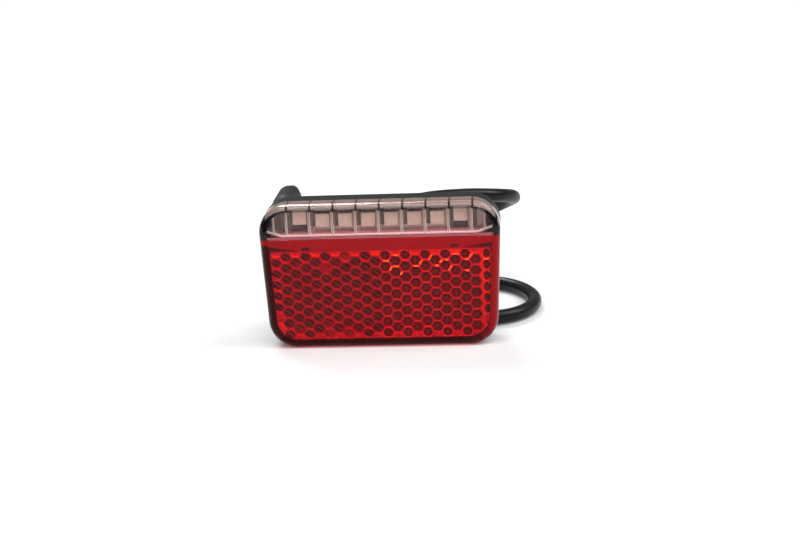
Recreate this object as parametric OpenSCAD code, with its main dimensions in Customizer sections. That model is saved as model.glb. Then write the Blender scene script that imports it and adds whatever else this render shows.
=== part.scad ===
// Rear light for a bicycle carrier, with a two-shot lens cap, a reflex reflector and a strip of lamps.
// Millimetres. The front faces -Y, +X is to the right and +Z is up.
// The origin is on the standing surface, under the middle of the light without its lead.

/* [Body] */
// Width of the outline at its top edge
body_w = 74; // [73:0.5:90]
// Height of the outline
body_h = 45.5; // [44:0.5:60]
// Lean of each side in degrees, narrower towards the bottom
side_taper = 2.6; // [0:0.1:4]
// Corner radius of the outline
corner_r = 9; // [7:0.5:11]
// Depth of the rear housing
housing_d = 7.5; // [7:0.1:12]
// Depth of the lens cap
cap_d = 6; // [5.6:0.1:9]
// Rounding of the rear edge
back_round = 2; // [1:0.1:3]
// Rounding of the front edge
front_round = 2.5; // [2.3:0.1:2.6]

/* [Walls] */
// Side wall of the housing
wall = 2.2; // [2.1:0.1:2.4]
// Back wall of the housing
back_wall = 2; // [1.6:0.1:3]
// Front wall of the lens cap
lens_wall = 1.8; // [1.5:0.1:2.1]
// Thickness of the housing's rim inside the cap
rim_t = 1.2; // [1:0.05:1.2]

/* [Seal] */
// Thickness of the seal between housing and cap
seal_t = 0.5; // [0.3:0.1:1]
// Set-back of the seal from the outline
seal_inset = 0.25; // [0.1:0.05:0.5]

/* [Lens] */
// Height of the clear part, down from the top
clear_h = 10.7; // [10.7:0.1:13]
// Height of the plain red band above the prisms
plain_band = 4.6; // [4.4:0.1:6]

/* [Reflector] */
// Side of one cube-corner hexagon
prism_side = 2.02; // [1.8:0.01:2.4]
// Thickness of the skirt round the prisms
skirt_t = 0.3; // [0.3:0.05:0.6]
// Solid plastic in front of the prisms
prism_plate_t = 1; // [0.8:0.1:1.4]
// Air left behind the prism tips
prism_air = 0.15; // [0.1:0.05:0.3]
// Thickness of the plate that closes the reflector
closing_t = 1; // [0.6:0.1:1.2]

/* [Light cells] */
// Number of light cells
cell_count = 8; // [6:1:8]
// Outer dividers in from the outline's width
cells_margin = 9; // [9:0.1:10]
// Thickness of the dividers
divider_t = 0.7; // [0.5:0.1:1]
// Top of the cell tray's floor above the red part
tray_rise = 1.1; // [1:0.1:1.3]
// Thickness of the cell tray's floor
tray_floor = 0.6; // [0.5:0.1:0.8]
// Level floor past the outer dividers, before it rises
ramp_start = 1.4; // [1:0.1:2]
// Slope of the floor's ends
ramp_slope = 0.35; // [0.2:0.05:0.5]
// End ribs past the outer dividers
end_rib_offset = 3.6; // [3:0.1:4]
// Thickness of the end ribs
end_rib_t = 0.5; // [0.4:0.1:0.8]
// Distance of the locating lugs from the middle
lug_x = 22.6; // [15:0.1:25]
// Width of a locating lug
lug_w = 2.2; // [1.5:0.1:3]
// Thickness of a locating lug
lug_t = 0.7; // [0.5:0.1:0.8]
// Middle of the lugs below the tray
lug_drop = 3.4; // [3:0.1:3.4]
// Depth of the web that carries a lug
lug_web = 1.5; // [1:0.1:2]

/* [Board] */
// Room behind the board
board_lift = 2.6; // [2.5:0.1:3]
// Thickness of the board
board_t = 1; // [0.8:0.1:1.2]
// Board below the lead's wires
board_margin = 1.5; // [1.2:0.1:2]
// Diameter of the posts under the board
post_d = 4; // [3:0.1:4.4]
// Diameter of the staked pegs
peg_d = 1.6; // [1.2:0.1:2]
// Diameter of a peg's staked head
peg_head_d = 2.6; // [2.2:0.1:3]
// Height of a peg's staked head
peg_head_h = 0.6; // [0.4:0.1:1]
// Pegs inside the outer dividers
peg_offset = 1; // [0.5:0.1:1.5]

/* [Lamps] */
// Lamps above the floor of their cells
led_rise = 1; // [0.6:0.1:1.4]
// Side of a lamp package
led_w = 4.2; // [3.5:0.1:4.2]
// Height of a lamp package
led_h = 1.6; // [1:0.1:2]
// Diameter of a lamp's window
led_window_d = 3.2; // [2:0.1:3.2]
// Depth of a lamp's window
led_window_t = 0.5; // [0.3:0.1:0.8]

/* [Small components] */
// Chip resistor: length, width and height
resistor = [4.2, 1.8, 0.6]; // [0.3:0.05:4.5]
// Driver chip body: length, width and height
chip = [4.9, 3.9, 1.45]; // [1:0.05:5]
// Diode body: length, width and height
diode = [4.3, 2.6, 2]; // [1:0.1:4.6]
// Capacitor: length, width and height
capacitor = [3.2, 2.5, 1.8]; // [0.8:0.1:3.6]
// Thickness of the metal leads
lead_t = 0.2; // [0.1:0.05:0.3]
// Length of the chip's leads
lead_reach = 1.05; // [0.8:0.05:1.3]
// Width of the chip's leads
lead_w = 0.42; // [0.3:0.02:0.5]
// Pitch of the chip's leads
lead_pitch = 1.27; // [1:0.01:1.27]
// Width of the diode's terminals
terminal_w = 1.5; // [1:0.1:2]

/* [Studs] */
// Distance between the mounting studs
stud_spacing = 50; // [40:1:50]
// Diameter of the studs
stud_d = 5; // [4:1:6]
// Diameter of a stud's neck in the back wall
neck_d = 4.2; // [3.6:0.1:4.6]
// Stud length behind the back face
stud_len = 12; // [11.5:0.5:20]
// Studs below the middle of the outline
stud_drop = 0.25; // [0:0.05:1]
// Chamfer at a stud's end
stud_chamfer = 0.6; // [0.3:0.1:1]
// Width across flats of the stud heads
head_flats = 8; // [8:0.5:9]
// Height of the stud heads
head_h = 3; // [2:0.1:3.5]
// Wall of the pocket round a head
pocket_wall = 1.5; // [1:0.1:2]
// Thickness of the seal under a head
stud_seal_t = 0.8; // [0.5:0.1:1]
// Width of the seal ring under a head
stud_seal_w = 1.3; // [0.8:0.1:1.3]

/* [Lead] */
// Diameter of the lead
cable_d = 4.5; // [4:0.1:4.8]
// Lead's exit below the clear part
exit_drop = 1.8; // [1.8:0.1:2.8]
// Diameter of one wire
wire_d = 1.1; // [0.8:0.1:1.3]
// Distance between the two wires
wire_gap = 1.8; // [1.6:0.1:2.2]
// Wire in front of the board
wire_tip = 0.5; // [0.3:0.1:0.8]

/* [Grommet] */
// Diameter of the grommet's hole
grommet_hole_d = 7; // [6.4:0.1:7.4]
// Diameter of the grommet's flanges
flange_d = 10; // [9:0.1:11]
// Thickness of the grommet's flanges
flange_t = 1; // [0.8:0.1:1.2]
// Length of the bend relief
boot_len = 11; // [9:0.5:11]
// Diameter of the bend relief at its root
boot_root_d = 8; // [7.6:0.1:9]
// Diameter of the bend relief at its tip
boot_tip_d = 6.6; // [6.2:0.1:7.2]
// Ribs on the bend relief
boot_ribs = 4; // [2:1:6]
// Depth of the grooves between ribs
boot_groove = 0.4; // [0.2:0.1:0.5]
// Share of the bend relief's length that its ribs take
rib_share = 0.6; // [0.4:0.05:0.8]

/* [Plug] */
// Diameter of the plug shell
plug_d = 10; // [9.6:0.1:12]
// Length of the plug shell
plug_len = 26; // [22:0.5:32]
// Length of the shell's tapered tail
plug_tail = 9; // [6:0.5:10]
// Diameter of the tail where the lead enters
plug_tail_d = 6; // [5.4:0.1:7]
// Grip grooves round the shell
grip_count = 5; // [3:1:6]
// Width of a grip groove
grip_w = 1; // [0.6:0.1:1.2]
// Depth of a grip groove
grip_depth = 0.5; // [0.2:0.1:0.6]
// Diameter of the plug's nose
nose_d = 6; // [5:0.1:6.4]
// Length of the plug's nose
nose_len = 9; // [7:0.5:12]
// Diameter of the insert's root in the shell
nose_root_d = 7.6; // [7:0.1:8]
// Depth of the insert's root in the shell
nose_root = 6; // [4:0.5:8]
// Diameter of the contacts
contact_d = 1.4; // [1:0.1:1.6]
// Distance between the contacts
contact_gap = 2.4; // [2:0.1:2.6]
// Set-back of the contacts from the nose's end
contact_sunk = 1.5; // [0.5:0.1:3]
// Thickness of the seal at the nose's root
nose_seal_t = 1; // [0.6:0.1:1.5]
// Depth of the groove that holds the seal
seal_groove = 0.4; // [0.2:0.1:0.6]

/* [Fits] */
// Gap between pieces that slide together
slide_gap = 0.1; // [0.05:0.05:0.2]
// Gap between pieces that fit tightly
snug_gap = 0.02; // [0.01:0.01:0.04]
// Gap between inner pieces and the walls
inner_gap = 0.3; // [0.2:0.05:0.4]

/* [Hidden] */
$fn = 64;
cut = 1;
round_steps = 8;
corner_steps = 12;

// Depths, measured from the back face towards the front
body_d = housing_d + seal_t + cap_d;
cap_back = housing_d + seal_t;
lens_in = body_d - lens_wall;
board_back = back_wall + board_lift;
board_front = board_back + board_t;
front_y = -(body_d + stud_len) / 2;
back_y = front_y + body_d;

// Heights, measured from the base
split_z = body_h - clear_h;
exit_z = split_z - exit_drop;
field_top = split_z - plain_band;
tray_inset = wall + inner_gap;
insert_inset = wall + slide_gap;
field_inset = insert_inset + skirt_t;
stud_z = body_h / 2 - stud_drop;
cell_bottom = split_z + tray_rise;
cell_top = body_h - tray_inset;
led_z = cell_bottom + led_rise + led_w / 2;
end_led_z = cell_bottom + resistor.y + 2 * slide_gap + led_w / 2;
board_bottom = exit_z - board_margin;
board_mid = (board_bottom + cell_top) / 2;
peg_z = (board_bottom + split_z) / 2;

// Corner centres, anticlockwise from the lower right, with the angle where each turn starts
top_x = body_w / 2 - corner_r / cos(side_taper) - corner_r * tan(side_taper);
bottom_x = body_w / 2 - corner_r / cos(side_taper) - (body_h - corner_r) * tan(side_taper);
corners = [
    [bottom_x, corner_r], [top_x, body_h - corner_r], [-top_x, body_h - corner_r], [-bottom_x, corner_r]
];
starts = [-90, -side_taper, 90, 180 + side_taper];
turns = [90 - side_taper, 90 + side_taper, 90 + side_taper, 90 - side_taper];

// Light cells
cells_w = body_w - 2 * cells_margin;
cell_pitch = cells_w / cell_count;
cell_x = [for (k = [0:cell_count - 1]) (k - (cell_count - 1) / 2) * cell_pitch];
peg_x = cells_w / 2 - peg_offset;
stud_x = [-stud_spacing / 2, stud_spacing / 2];

// Cube corners: the hexagon's centre is the tip, and its vertices lie one and two steps higher.
// A row of tips lies on the field's top edge, and the columns stand either side of the middle.
prism_step = prism_side / sqrt(2);
prism_row = prism_side * sqrt(3) / 2;
side_quarter = prism_side / 4;
insert_front = lens_in - inner_gap;
prism_base = insert_front - prism_plate_t;
prism_tip = prism_base - 2 * prism_step;
skirt_end = prism_tip - prism_air;
prism_columns = ceil(body_w / prism_side) + 2;
prism_rows = 2 * ceil((field_top - field_inset) / prism_row / 2) + 2;
prism_left = side_quarter - prism_columns * prism_side / 2;
prism_bottom = field_top - prism_row * (prism_rows - 1);

// Plug, laid along +Y on the standing surface behind the light
plug_x = -53;
plug_y = 144;
plug_z = plug_d / 2;
neck_r = nose_d / 2 - seal_groove;

// Route of the free lead, from the bend relief to the plug
boot_end_y = back_y + boot_len;
route = [
    [0, boot_end_y, exit_z], [0, 18, exit_z], [2, 28, exit_z + 0.5], [11, 39, exit_z + 1],
    [24, 45, exit_z + 0.5], [35, 50, exit_z - 1], [40.5, 60, exit_z - 4], [38, 70, exit_z - 8],
    [28, 77, exit_z - 14], [13, 81, 12], [-4, 80, 6], [-18, 74, 3],
    [-28, 62, 2.5], [-26, 49, 2.5], [-14, 41, 2.5], [3, 41, 2.5], [19, 46, 2.5], [33, 46, 2.5],
    [42, 39, 2.5], [46.5, 28, 2.5], [45, 17, 2.5], [38, 9, 2.5], [25, 6, 2.5], [8, 6, 2.5],
    [-10, 7, 2.5], [-25, 14, 2.5], [-33, 28, 2.5], [-38, 46, 2.5], [-43, 68, 2.5], [-48, 90, 2.5],
    [-52, 112, 3], [plug_x, 132, 4.5], [plug_x, plug_y, plug_z]
];
route_steps = 2;
cable_sides = 12;

// Point at an angle and a distance from a centre, and an arc of such points
function around(centre, angle, r) = [centre.x + r * cos(angle), centre.y + r * sin(angle)];
function arc(centre, r, from, to, steps) =
    [for (k = [0:steps]) around(centre, from + (to - from) * k / steps, r)];

// Smooth curve through a list of points, with the end points continued straight
function point_at(path, k) =
    k < 0 ? 2 * path[0] - path[1] :
    k >= len(path) ? 2 * path[len(path) - 1] - path[len(path) - 2] :
    path[k];
function blend(a, b, c, d, t) =
    0.5 * (2 * b + (c - a) * t + (2 * a - 5 * b + 4 * c - d) * t * t + (3 * b - a - 3 * c + d) * t * t * t);
function smooth(path, steps) = concat(
    [for (k = [0:len(path) - 2]) for (s = [0:steps - 1])
        blend(point_at(path, k - 1), path[k], path[k + 1], point_at(path, k + 2), s / steps)],
    [path[len(path) - 1]]
);
function unit(v) = v / norm(v);

// The light is drawn lying on its back, X across, Y up its face and Z towards the front, and stood up here
module stand() {
    translate([0, back_y, 0])
        rotate([90, 0, 0])
            children();
}

// Outline of the light, set back by an inset
function outline_points(inset) =
    [for (k = [0:3]) each arc(corners[k], corner_r - inset, starts[k], starts[k] + turns[k], corner_steps)];

module outline(inset) {
    polygon(outline_points(inset));
}

// Outline above or below a height
module outline_above(inset, bottom) {
    intersection() {
        outline(inset);
        translate([-body_w, bottom])
            square([2 * body_w, body_h]);
    }
}

module outline_below(inset, top) {
    intersection() {
        outline(inset);
        translate([-body_w, top - body_h])
            square([2 * body_w, body_h]);
    }
}

// Hollow form with one outline for each inset and depth of a profile, closed at both ends.
// The profile starts at a face towards the front and ends at one towards the back.
module vessel(profile) {
    rings = [for (p = profile) [for (q = outline_points(p[0])) [q.x, q.y, p[1]]]];
    count = len(rings[0]);
    last = len(rings) - 1;
    sides = [
        for (k = [0:last - 1]) for (s = [0:count - 1])
            let (a = k * count + s, b = k * count + (s + 1) % count)
            each [[a, b, b + count], [a, b + count, a + count]]
    ];
    polyhedron(
        points = [for (r = rings) each r],
        faces = concat(
            sides,
            [[for (s = [0:count - 1]) count - 1 - s]],
            [[for (s = [0:count - 1]) last * count + s]]
        )
    );
}

// Hexagonal prism by its width across flats
module hexagon(flats, height) {
    cylinder(h = height, r = flats / 2 / cos(30), $fn = 6);
}

// Ring of a given inner radius, width and thickness
module ring(inner_r, width, thickness) {
    linear_extrude(thickness)
        difference() {
            circle(inner_r + width);
            circle(inner_r);
        }
}

// Housing wall from the floor over the rim that enters the cap to the rounded rear edge
rim_inset = wall - rim_t;
rim_end = lens_in - 2 * slide_gap;
housing_profile = concat(
    [
        [wall, back_wall], [wall, rim_end], [rim_inset, rim_end], [rim_inset, housing_d], [0, housing_d]
    ],
    arc([back_round, back_round], back_round, 180, 270, round_steps)
);

module board_post() {
    translate([0, 0, back_wall - cut])
        cylinder(h = board_lift + cut, d = post_d);
    translate([0, 0, board_back - cut])
        cylinder(h = cut + board_t + peg_head_h / 2, d = peg_d);
    translate([0, 0, board_front])
        cylinder(h = peg_head_h, d = peg_head_d);
}

module stud_pocket() {
    pocket_flats = head_flats + 2 * slide_gap;
    translate([0, 0, back_wall - cut])
        difference() {
            cylinder(h = cut + stud_seal_t + head_h, r = pocket_flats / 2 / cos(30) + pocket_wall);
            translate([0, 0, -cut])
                hexagon(pocket_flats, stud_seal_t + head_h + 3 * cut);
        }
}

module rear_housing() {
    color([0.1, 0.1, 0.11])
        stand() {
            difference() {
                vessel(housing_profile);
                for (x = stud_x)
                    translate([x, stud_z, -cut])
                        cylinder(h = back_wall + 2 * cut, d = stud_d + 2 * slide_gap);
                translate([0, exit_z, -cut])
                    cylinder(h = back_wall + 2 * cut, d = grommet_hole_d);
                translate([0, exit_z, -cut])
                    cylinder(h = flange_t + cut, d = flange_d + 2 * slide_gap);
            }
            for (x = [-peg_x, peg_x])
                translate([x, peg_z, 0])
                    board_post();
            for (x = stud_x)
                translate([x, stud_z, 0])
                    stud_pocket();
        }
}

module rim_seal() {
    color([0.16, 0.16, 0.17])
        stand()
            translate([0, 0, housing_d])
                linear_extrude(seal_t)
                    difference() {
                        outline(seal_inset);
                        outline(rim_inset - slide_gap);
                    }
}

// Cap wall from the rounded front edge over the rear edge to the inner face
cap_side = rim_inset - slide_gap;
cap_profile = concat(
    arc([front_round, body_d - front_round], front_round, 90, 180, round_steps),
    [[0, cap_back], [cap_side, cap_back], [cap_side, lens_in]]
);

module lens_cap() {
    vessel(cap_profile);
}

module clear_lens() {
    color([0.9, 0.9, 0.88, 0.4])
        stand()
            intersection() {
                lens_cap();
                translate([-body_w, split_z, 0])
                    cube([2 * body_w, body_h, body_d + cut]);
            }
}

module red_lens() {
    color([0.75, 0.05, 0.08, 0.6])
        stand()
            intersection() {
                lens_cap();
                translate([-body_w, split_z - 2 * body_h, 0])
                    cube([2 * body_w, 2 * body_h, body_d + cut]);
            }
}

// Step of a lattice point: 0 at a tip, 1 and 2 at the hexagon's vertices, turned over in the right half
function prism_level(i, j) =
    let (kind = (i - floor(j / 2) - j + 3 * prism_rows + 1) % 3)
    kind == 0 || 2 * i < prism_columns ? kind : 3 - kind;

// The air behind the prisms: a lattice of cube corners in front and a plane at the rear
module prism_air_space() {
    row = prism_columns + 1;
    count = row * (prism_rows + 1);
    places = [
        for (j = [0:prism_rows]) for (i = [0:prism_columns])
            [prism_left + prism_side * (i + (j % 2) / 2), prism_bottom + prism_row * j, prism_level(i, j)]
    ];
    front = [for (p = places) [p.x, p.y, prism_tip + prism_step * p.z]];
    rear = [for (p = places) [p.x, p.y, skirt_end - cut]];
    cells = [
        for (j = [0:prism_rows - 1]) for (i = [0:prism_columns - 1])
            let (a = j * row + i, b = a + 1, c = a + row, d = c + 1)
            each j % 2 == 0 ? [[a, b, c], [b, d, c]] : [[a, b, d], [a, d, c]]
    ];
    rim = concat(
        [for (i = [0:prism_columns - 1]) i],
        [for (j = [0:prism_rows - 1]) j * row + prism_columns],
        [for (i = [0:prism_columns - 1]) count - 1 - i],
        [for (j = [0:prism_rows - 1]) (prism_rows - j) * row]
    );
    sides = [
        for (k = [0:len(rim) - 1])
            let (a = rim[k], b = rim[(k + 1) % len(rim)])
            each [[a, b, b + count], [a, b + count, a + count]]
    ];
    polyhedron(
        points = concat(front, rear),
        faces = concat(
            [for (f = cells) [f[0], f[2], f[1]]],
            [for (f = cells) [f[0] + count, f[1] + count, f[2] + count]],
            sides
        )
    );
}

// The plain margin above the prisms has a slot for each locating lug
module reflex_insert() {
    color([0.7, 0.04, 0.06])
        stand()
            difference() {
                union() {
                    translate([0, 0, skirt_end])
                        linear_extrude(insert_front - skirt_end)
                            outline_below(insert_inset, field_top + skirt_t);
                    translate([0, 0, prism_base])
                        linear_extrude(prism_plate_t)
                            outline_below(insert_inset, split_z - slide_gap);
                }
                intersection() {
                    prism_air_space();
                    linear_extrude(body_d)
                        outline_below(field_inset, field_top);
                }
                for (x = [-lug_x, lug_x])
                    translate([x, split_z - lug_drop, 0])
                        block([lug_w + 2 * slide_gap, lug_t + 2 * slide_gap, body_d]);
            }
}

module reflex_closing_plate() {
    color([0.25, 0.03, 0.04])
        stand()
            translate([0, 0, skirt_end - closing_t])
                linear_extrude(closing_t)
                    outline_below(insert_inset, field_top + skirt_t);
}

// Clear comb: a thin floor that rises at both ends, dividers, end ribs, and lugs that locate the reflector
module cell_tray() {
    depth = lens_in - board_front - inner_gap;
    outer_x = cells_w / 2 + divider_t / 2;
    level_x = outer_x + ramp_start;
    rib_x = outer_x + end_rib_offset;
    floor_z = cell_bottom - tray_floor;
    ramp_h = ramp_slope * (body_w / 2 - level_x);
    rib_z = floor_z + ramp_slope * (rib_x - level_x) + tray_floor / 2;
    color([0.85, 0.85, 0.84, 0.5])
        stand()
            translate([0, 0, board_front]) {
                linear_extrude(depth)
                    intersection() {
                        outline_above(tray_inset, split_z);
                        union() {
                            polygon([
                                [-body_w / 2, floor_z + ramp_h], [-level_x, floor_z], [level_x, floor_z],
                                [body_w / 2, floor_z + ramp_h], [body_w / 2, cell_bottom + ramp_h],
                                [level_x, cell_bottom], [-level_x, cell_bottom],
                                [-body_w / 2, cell_bottom + ramp_h]
                            ]);
                            for (k = [0:cell_count])
                                translate([(k - cell_count / 2) * cell_pitch - divider_t / 2, floor_z])
                                    square([divider_t, body_h]);
                            for (x = [-rib_x, rib_x])
                                translate([x - end_rib_t / 2, rib_z])
                                    square([end_rib_t, body_h]);
                        }
                    }
                for (x = [-lug_x, lug_x])
                    translate([x, split_z - lug_drop, 0]) {
                        translate([-lug_w / 2, -lug_t / 2, 0])
                            cube([lug_w, lug_t, depth]);
                        translate([-lug_w / 4, 0, 0])
                            cube([lug_w / 2, lug_drop + tray_rise - tray_floor / 2, lug_web]);
                    }
            }
}

module led_board() {
    color([0.16, 0.15, 0.15])
        stand()
            translate([0, 0, board_back])
                linear_extrude(board_t)
                    difference() {
                        outline_above(tray_inset, board_bottom);
                        for (x = [-peg_x, peg_x])
                            translate([x, peg_z])
                                circle(d = peg_d + 2 * slide_gap);
                        for (x = [-wire_gap / 2, wire_gap / 2])
                            translate([x, exit_z])
                                circle(d = wire_d + 2 * slide_gap);
                    }
}

// Places of the lamps: those in the end cells sit higher, above a resistor
lamp_places = [
    for (k = [0:cell_count - 1]) [cell_x[k], k == 0 || k == cell_count - 1 ? end_led_z : led_z, board_front]
];

module led_packages() {
    color([0.85, 0.78, 0.72])
        stand()
            for (place = lamp_places)
                translate(place)
                    difference() {
                        block([led_w, led_w, led_h]);
                        translate([0, 0, led_h - led_window_t])
                            cylinder(h = led_window_t + cut, d = led_window_d + 2 * snug_gap);
                    }
}

module led_windows() {
    color([0.75, 0.6, 0.5])
        stand()
            for (place = lamp_places)
                translate(place + [0, 0, led_h - led_window_t])
                    cylinder(h = led_window_t, d = led_window_d);
}

// Component on the rear of the board, drawn upwards from the board's face
module behind_board(x, y) {
    stand()
        translate([x, y, board_back])
            mirror([0, 0, 1])
                children();
}

module block(size) {
    translate([-size.x / 2, -size.y / 2, 0])
        cube(size);
}

// Two resistors behind the board, and one below the lamp in each end cell
module current_resistors() {
    color([0.12, 0.12, 0.13]) {
        for (x = [cell_x[2], cell_x[cell_count - 3]])
            behind_board(x, board_mid)
                block(resistor);
        for (x = [cell_x[0], cell_x[cell_count - 1]])
            stand()
                translate([x, cell_bottom + slide_gap + resistor.y / 2, board_front])
                    block(resistor);
    }
}

module driver_chip() {
    color([0.08, 0.08, 0.09])
        behind_board(cell_x[1], board_mid) {
            translate([0, 0, lead_t])
                block([chip.x, chip.y, chip.z - lead_t]);
            for (k = [-1.5:1.5])
                translate([k * lead_pitch, 0, 0])
                    block([lead_w, chip.y + 2 * lead_reach, lead_t]);
        }
}

module polarity_diode() {
    color([0.1, 0.1, 0.1])
        behind_board(cell_x[cell_count - 2], board_mid) {
            translate([0, 0, lead_t])
                block([diode.x, diode.y, diode.z - lead_t]);
            block([diode.x + 2 * lead_t, terminal_w, lead_t]);
        }
}

module filter_capacitor() {
    color([0.6, 0.5, 0.4])
        behind_board(cell_x[cell_count - 3], board_mid + (resistor.y + capacitor.y) / 2 + inner_gap)
            block(capacitor);
}

// One wire from the lead's end through the board
module lead_wire(x) {
    stand()
        translate([x, exit_z, back_wall + flange_t])
            cylinder(h = board_front + wire_tip - back_wall - flange_t, d = wire_d);
}

module wire_positive() {
    color([0.75, 0.08, 0.08])
        lead_wire(wire_gap / 2);
}

module wire_negative() {
    color([0.08, 0.08, 0.08])
        lead_wire(-wire_gap / 2);
}

module mounting_studs() {
    color([0.75, 0.75, 0.77])
        stand()
            for (x = stud_x)
                translate([x, stud_z, 0]) {
                    translate([0, 0, back_wall + stud_seal_t])
                        hexagon(head_flats, head_h);
                    translate([0, 0, -cut])
                        cylinder(h = 2 * cut + back_wall + stud_seal_t, d = neck_d);
                    translate([0, 0, stud_chamfer - stud_len])
                        cylinder(h = stud_len - stud_chamfer, d = stud_d);
                    translate([0, 0, -stud_len])
                        cylinder(h = stud_chamfer, d1 = stud_d - 2 * stud_chamfer, d2 = stud_d);
                }
}

module stud_seals() {
    color([0.05, 0.05, 0.05])
        stand()
            for (x = stud_x)
                translate([x, stud_z, back_wall])
                    ring(neck_d / 2 + snug_gap, stud_seal_w, stud_seal_t);
}

// Half profile of the grommet: flanges on both sides of the wall, the outer one sunk, then a ribbed bend relief
module cable_grommet() {
    bore_r = cable_d / 2 + snug_gap;
    hole_r = grommet_hole_d / 2 - snug_gap;
    pitch = boot_len / boot_ribs;
    function boot_r(k) = (boot_root_d + (boot_tip_d - boot_root_d) * k / boot_ribs) / 2;
    ribs = [
        for (k = [0:boot_ribs - 1]) each [
            [boot_r(k), -k * pitch],
            [boot_r(k + rib_share), -(k + rib_share) * pitch],
            [boot_r(k + rib_share) - boot_groove, -(k + rib_share) * pitch],
            [boot_r(k + 1) - boot_groove, -(k + 1) * pitch]
        ]
    ];
    color([0.07, 0.07, 0.07])
        stand()
            translate([0, exit_z, 0])
                rotate_extrude()
                    polygon(concat(
                        [
                            [bore_r, back_wall + flange_t], [flange_d / 2, back_wall + flange_t],
                            [flange_d / 2, back_wall], [hole_r, back_wall], [hole_r, flange_t],
                            [flange_d / 2, flange_t], [flange_d / 2, 0]
                        ],
                        ribs,
                        [[bore_r, -boot_len]]
                    ));
}

// The stretch of the lead that the grommet holds
module cable_tail() {
    color([0.06, 0.06, 0.06])
        stand()
            translate([0, exit_z, -boot_len])
                cylinder(h = boot_len + back_wall + flange_t, d = cable_d);
}

// Round tube along a path that never runs straight up
module tube(path, d, sides) {
    last = len(path) - 1;
    rings = [
        for (k = [0:last])
            let (
                ahead = unit(point_at(path, k + 1) - point_at(path, k - 1)),
                side = unit(cross(ahead, [0, 0, 1])),
                up = cross(side, ahead)
            )
            for (s = [0:sides - 1])
                path[k] + d / 2 * (side * cos(360 * s / sides) + up * sin(360 * s / sides))
    ];
    skin = [
        for (k = [0:last - 1]) for (s = [0:sides - 1])
            let (a = k * sides + s, b = k * sides + (s + 1) % sides)
            each [[a, b, b + sides], [a, b + sides, a + sides]]
    ];
    polyhedron(
        points = rings,
        faces = concat(
            skin,
            [[for (s = [0:sides - 1]) sides - 1 - s]],
            [[for (s = [0:sides - 1]) last * sides + s]]
        )
    );
}

module cable() {
    color([0.06, 0.06, 0.06])
        tube(smooth(route, route_steps), cable_d, cable_sides);
}

// Pieces of the plug are drawn along +Z from the lead's end and laid down along +Y
module lay_plug() {
    translate([plug_x, plug_y, plug_z])
        rotate([-90, 0, 0])
            children();
}

module plug_shell() {
    grip_pitch = (plug_len - plug_tail) / (grip_count + 1);
    color([0.07, 0.07, 0.07])
        lay_plug()
            difference() {
                union() {
                    cylinder(h = plug_tail, d1 = plug_tail_d, d2 = plug_d);
                    translate([0, 0, plug_tail])
                        cylinder(h = plug_len - plug_tail, d = plug_d);
                }
                translate([0, 0, plug_len - nose_root])
                    cylinder(h = nose_root + cut, d = nose_root_d + 2 * snug_gap);
                for (k = [1:grip_count])
                    translate([0, 0, plug_tail + k * grip_pitch - grip_w / 2])
                        ring(plug_d / 2 - grip_depth, plug_d, grip_w);
            }
}

module plug_insert() {
    color([0.12, 0.12, 0.12])
        lay_plug()
            difference() {
                union() {
                    translate([0, 0, plug_len - nose_root])
                        cylinder(h = nose_root - nose_seal_t, d = nose_root_d);
                    translate([0, 0, plug_len - nose_root])
                        cylinder(h = nose_root + cut, r = neck_r);
                    translate([0, 0, plug_len])
                        cylinder(h = nose_len, d = nose_d);
                }
                for (x = [-contact_gap / 2, contact_gap / 2])
                    translate([x, 0, plug_len - nose_root / 2])
                        cylinder(h = nose_len + nose_root, d = contact_d + 2 * slide_gap);
            }
}

module plug_contacts() {
    color([0.8, 0.65, 0.3])
        lay_plug()
            for (x = [-contact_gap / 2, contact_gap / 2])
                translate([x, 0, plug_len - nose_root / 2])
                    cylinder(h = nose_root / 2 + nose_len - contact_sunk, d = contact_d);
}

module plug_seal() {
    color([0.6, 0.25, 0.1])
        lay_plug()
            translate([0, 0, plug_len - nose_seal_t])
                ring(neck_r + snug_gap, nose_root_d / 2 - neck_r - snug_gap, nose_seal_t);
}

rear_housing();
rim_seal();
clear_lens();
red_lens();
reflex_insert();
reflex_closing_plate();
cell_tray();
led_board();
led_packages();
led_windows();
current_resistors();
driver_chip();
polarity_diode();
filter_capacitor();
wire_positive();
wire_negative();
mounting_studs();
stud_seals();
cable_grommet();
cable_tail();
cable();
plug_shell();
plug_insert();
plug_contacts();
plug_seal();
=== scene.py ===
"""Looks for a bicycle rear light: lens cap, reflector, light cells, housing, lead, plug and stage."""
import math

import bmesh
import bpy
from bpy.props import FloatProperty, FloatVectorProperty, IntProperty, PointerProperty
from mathutils import Matrix, Vector


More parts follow.
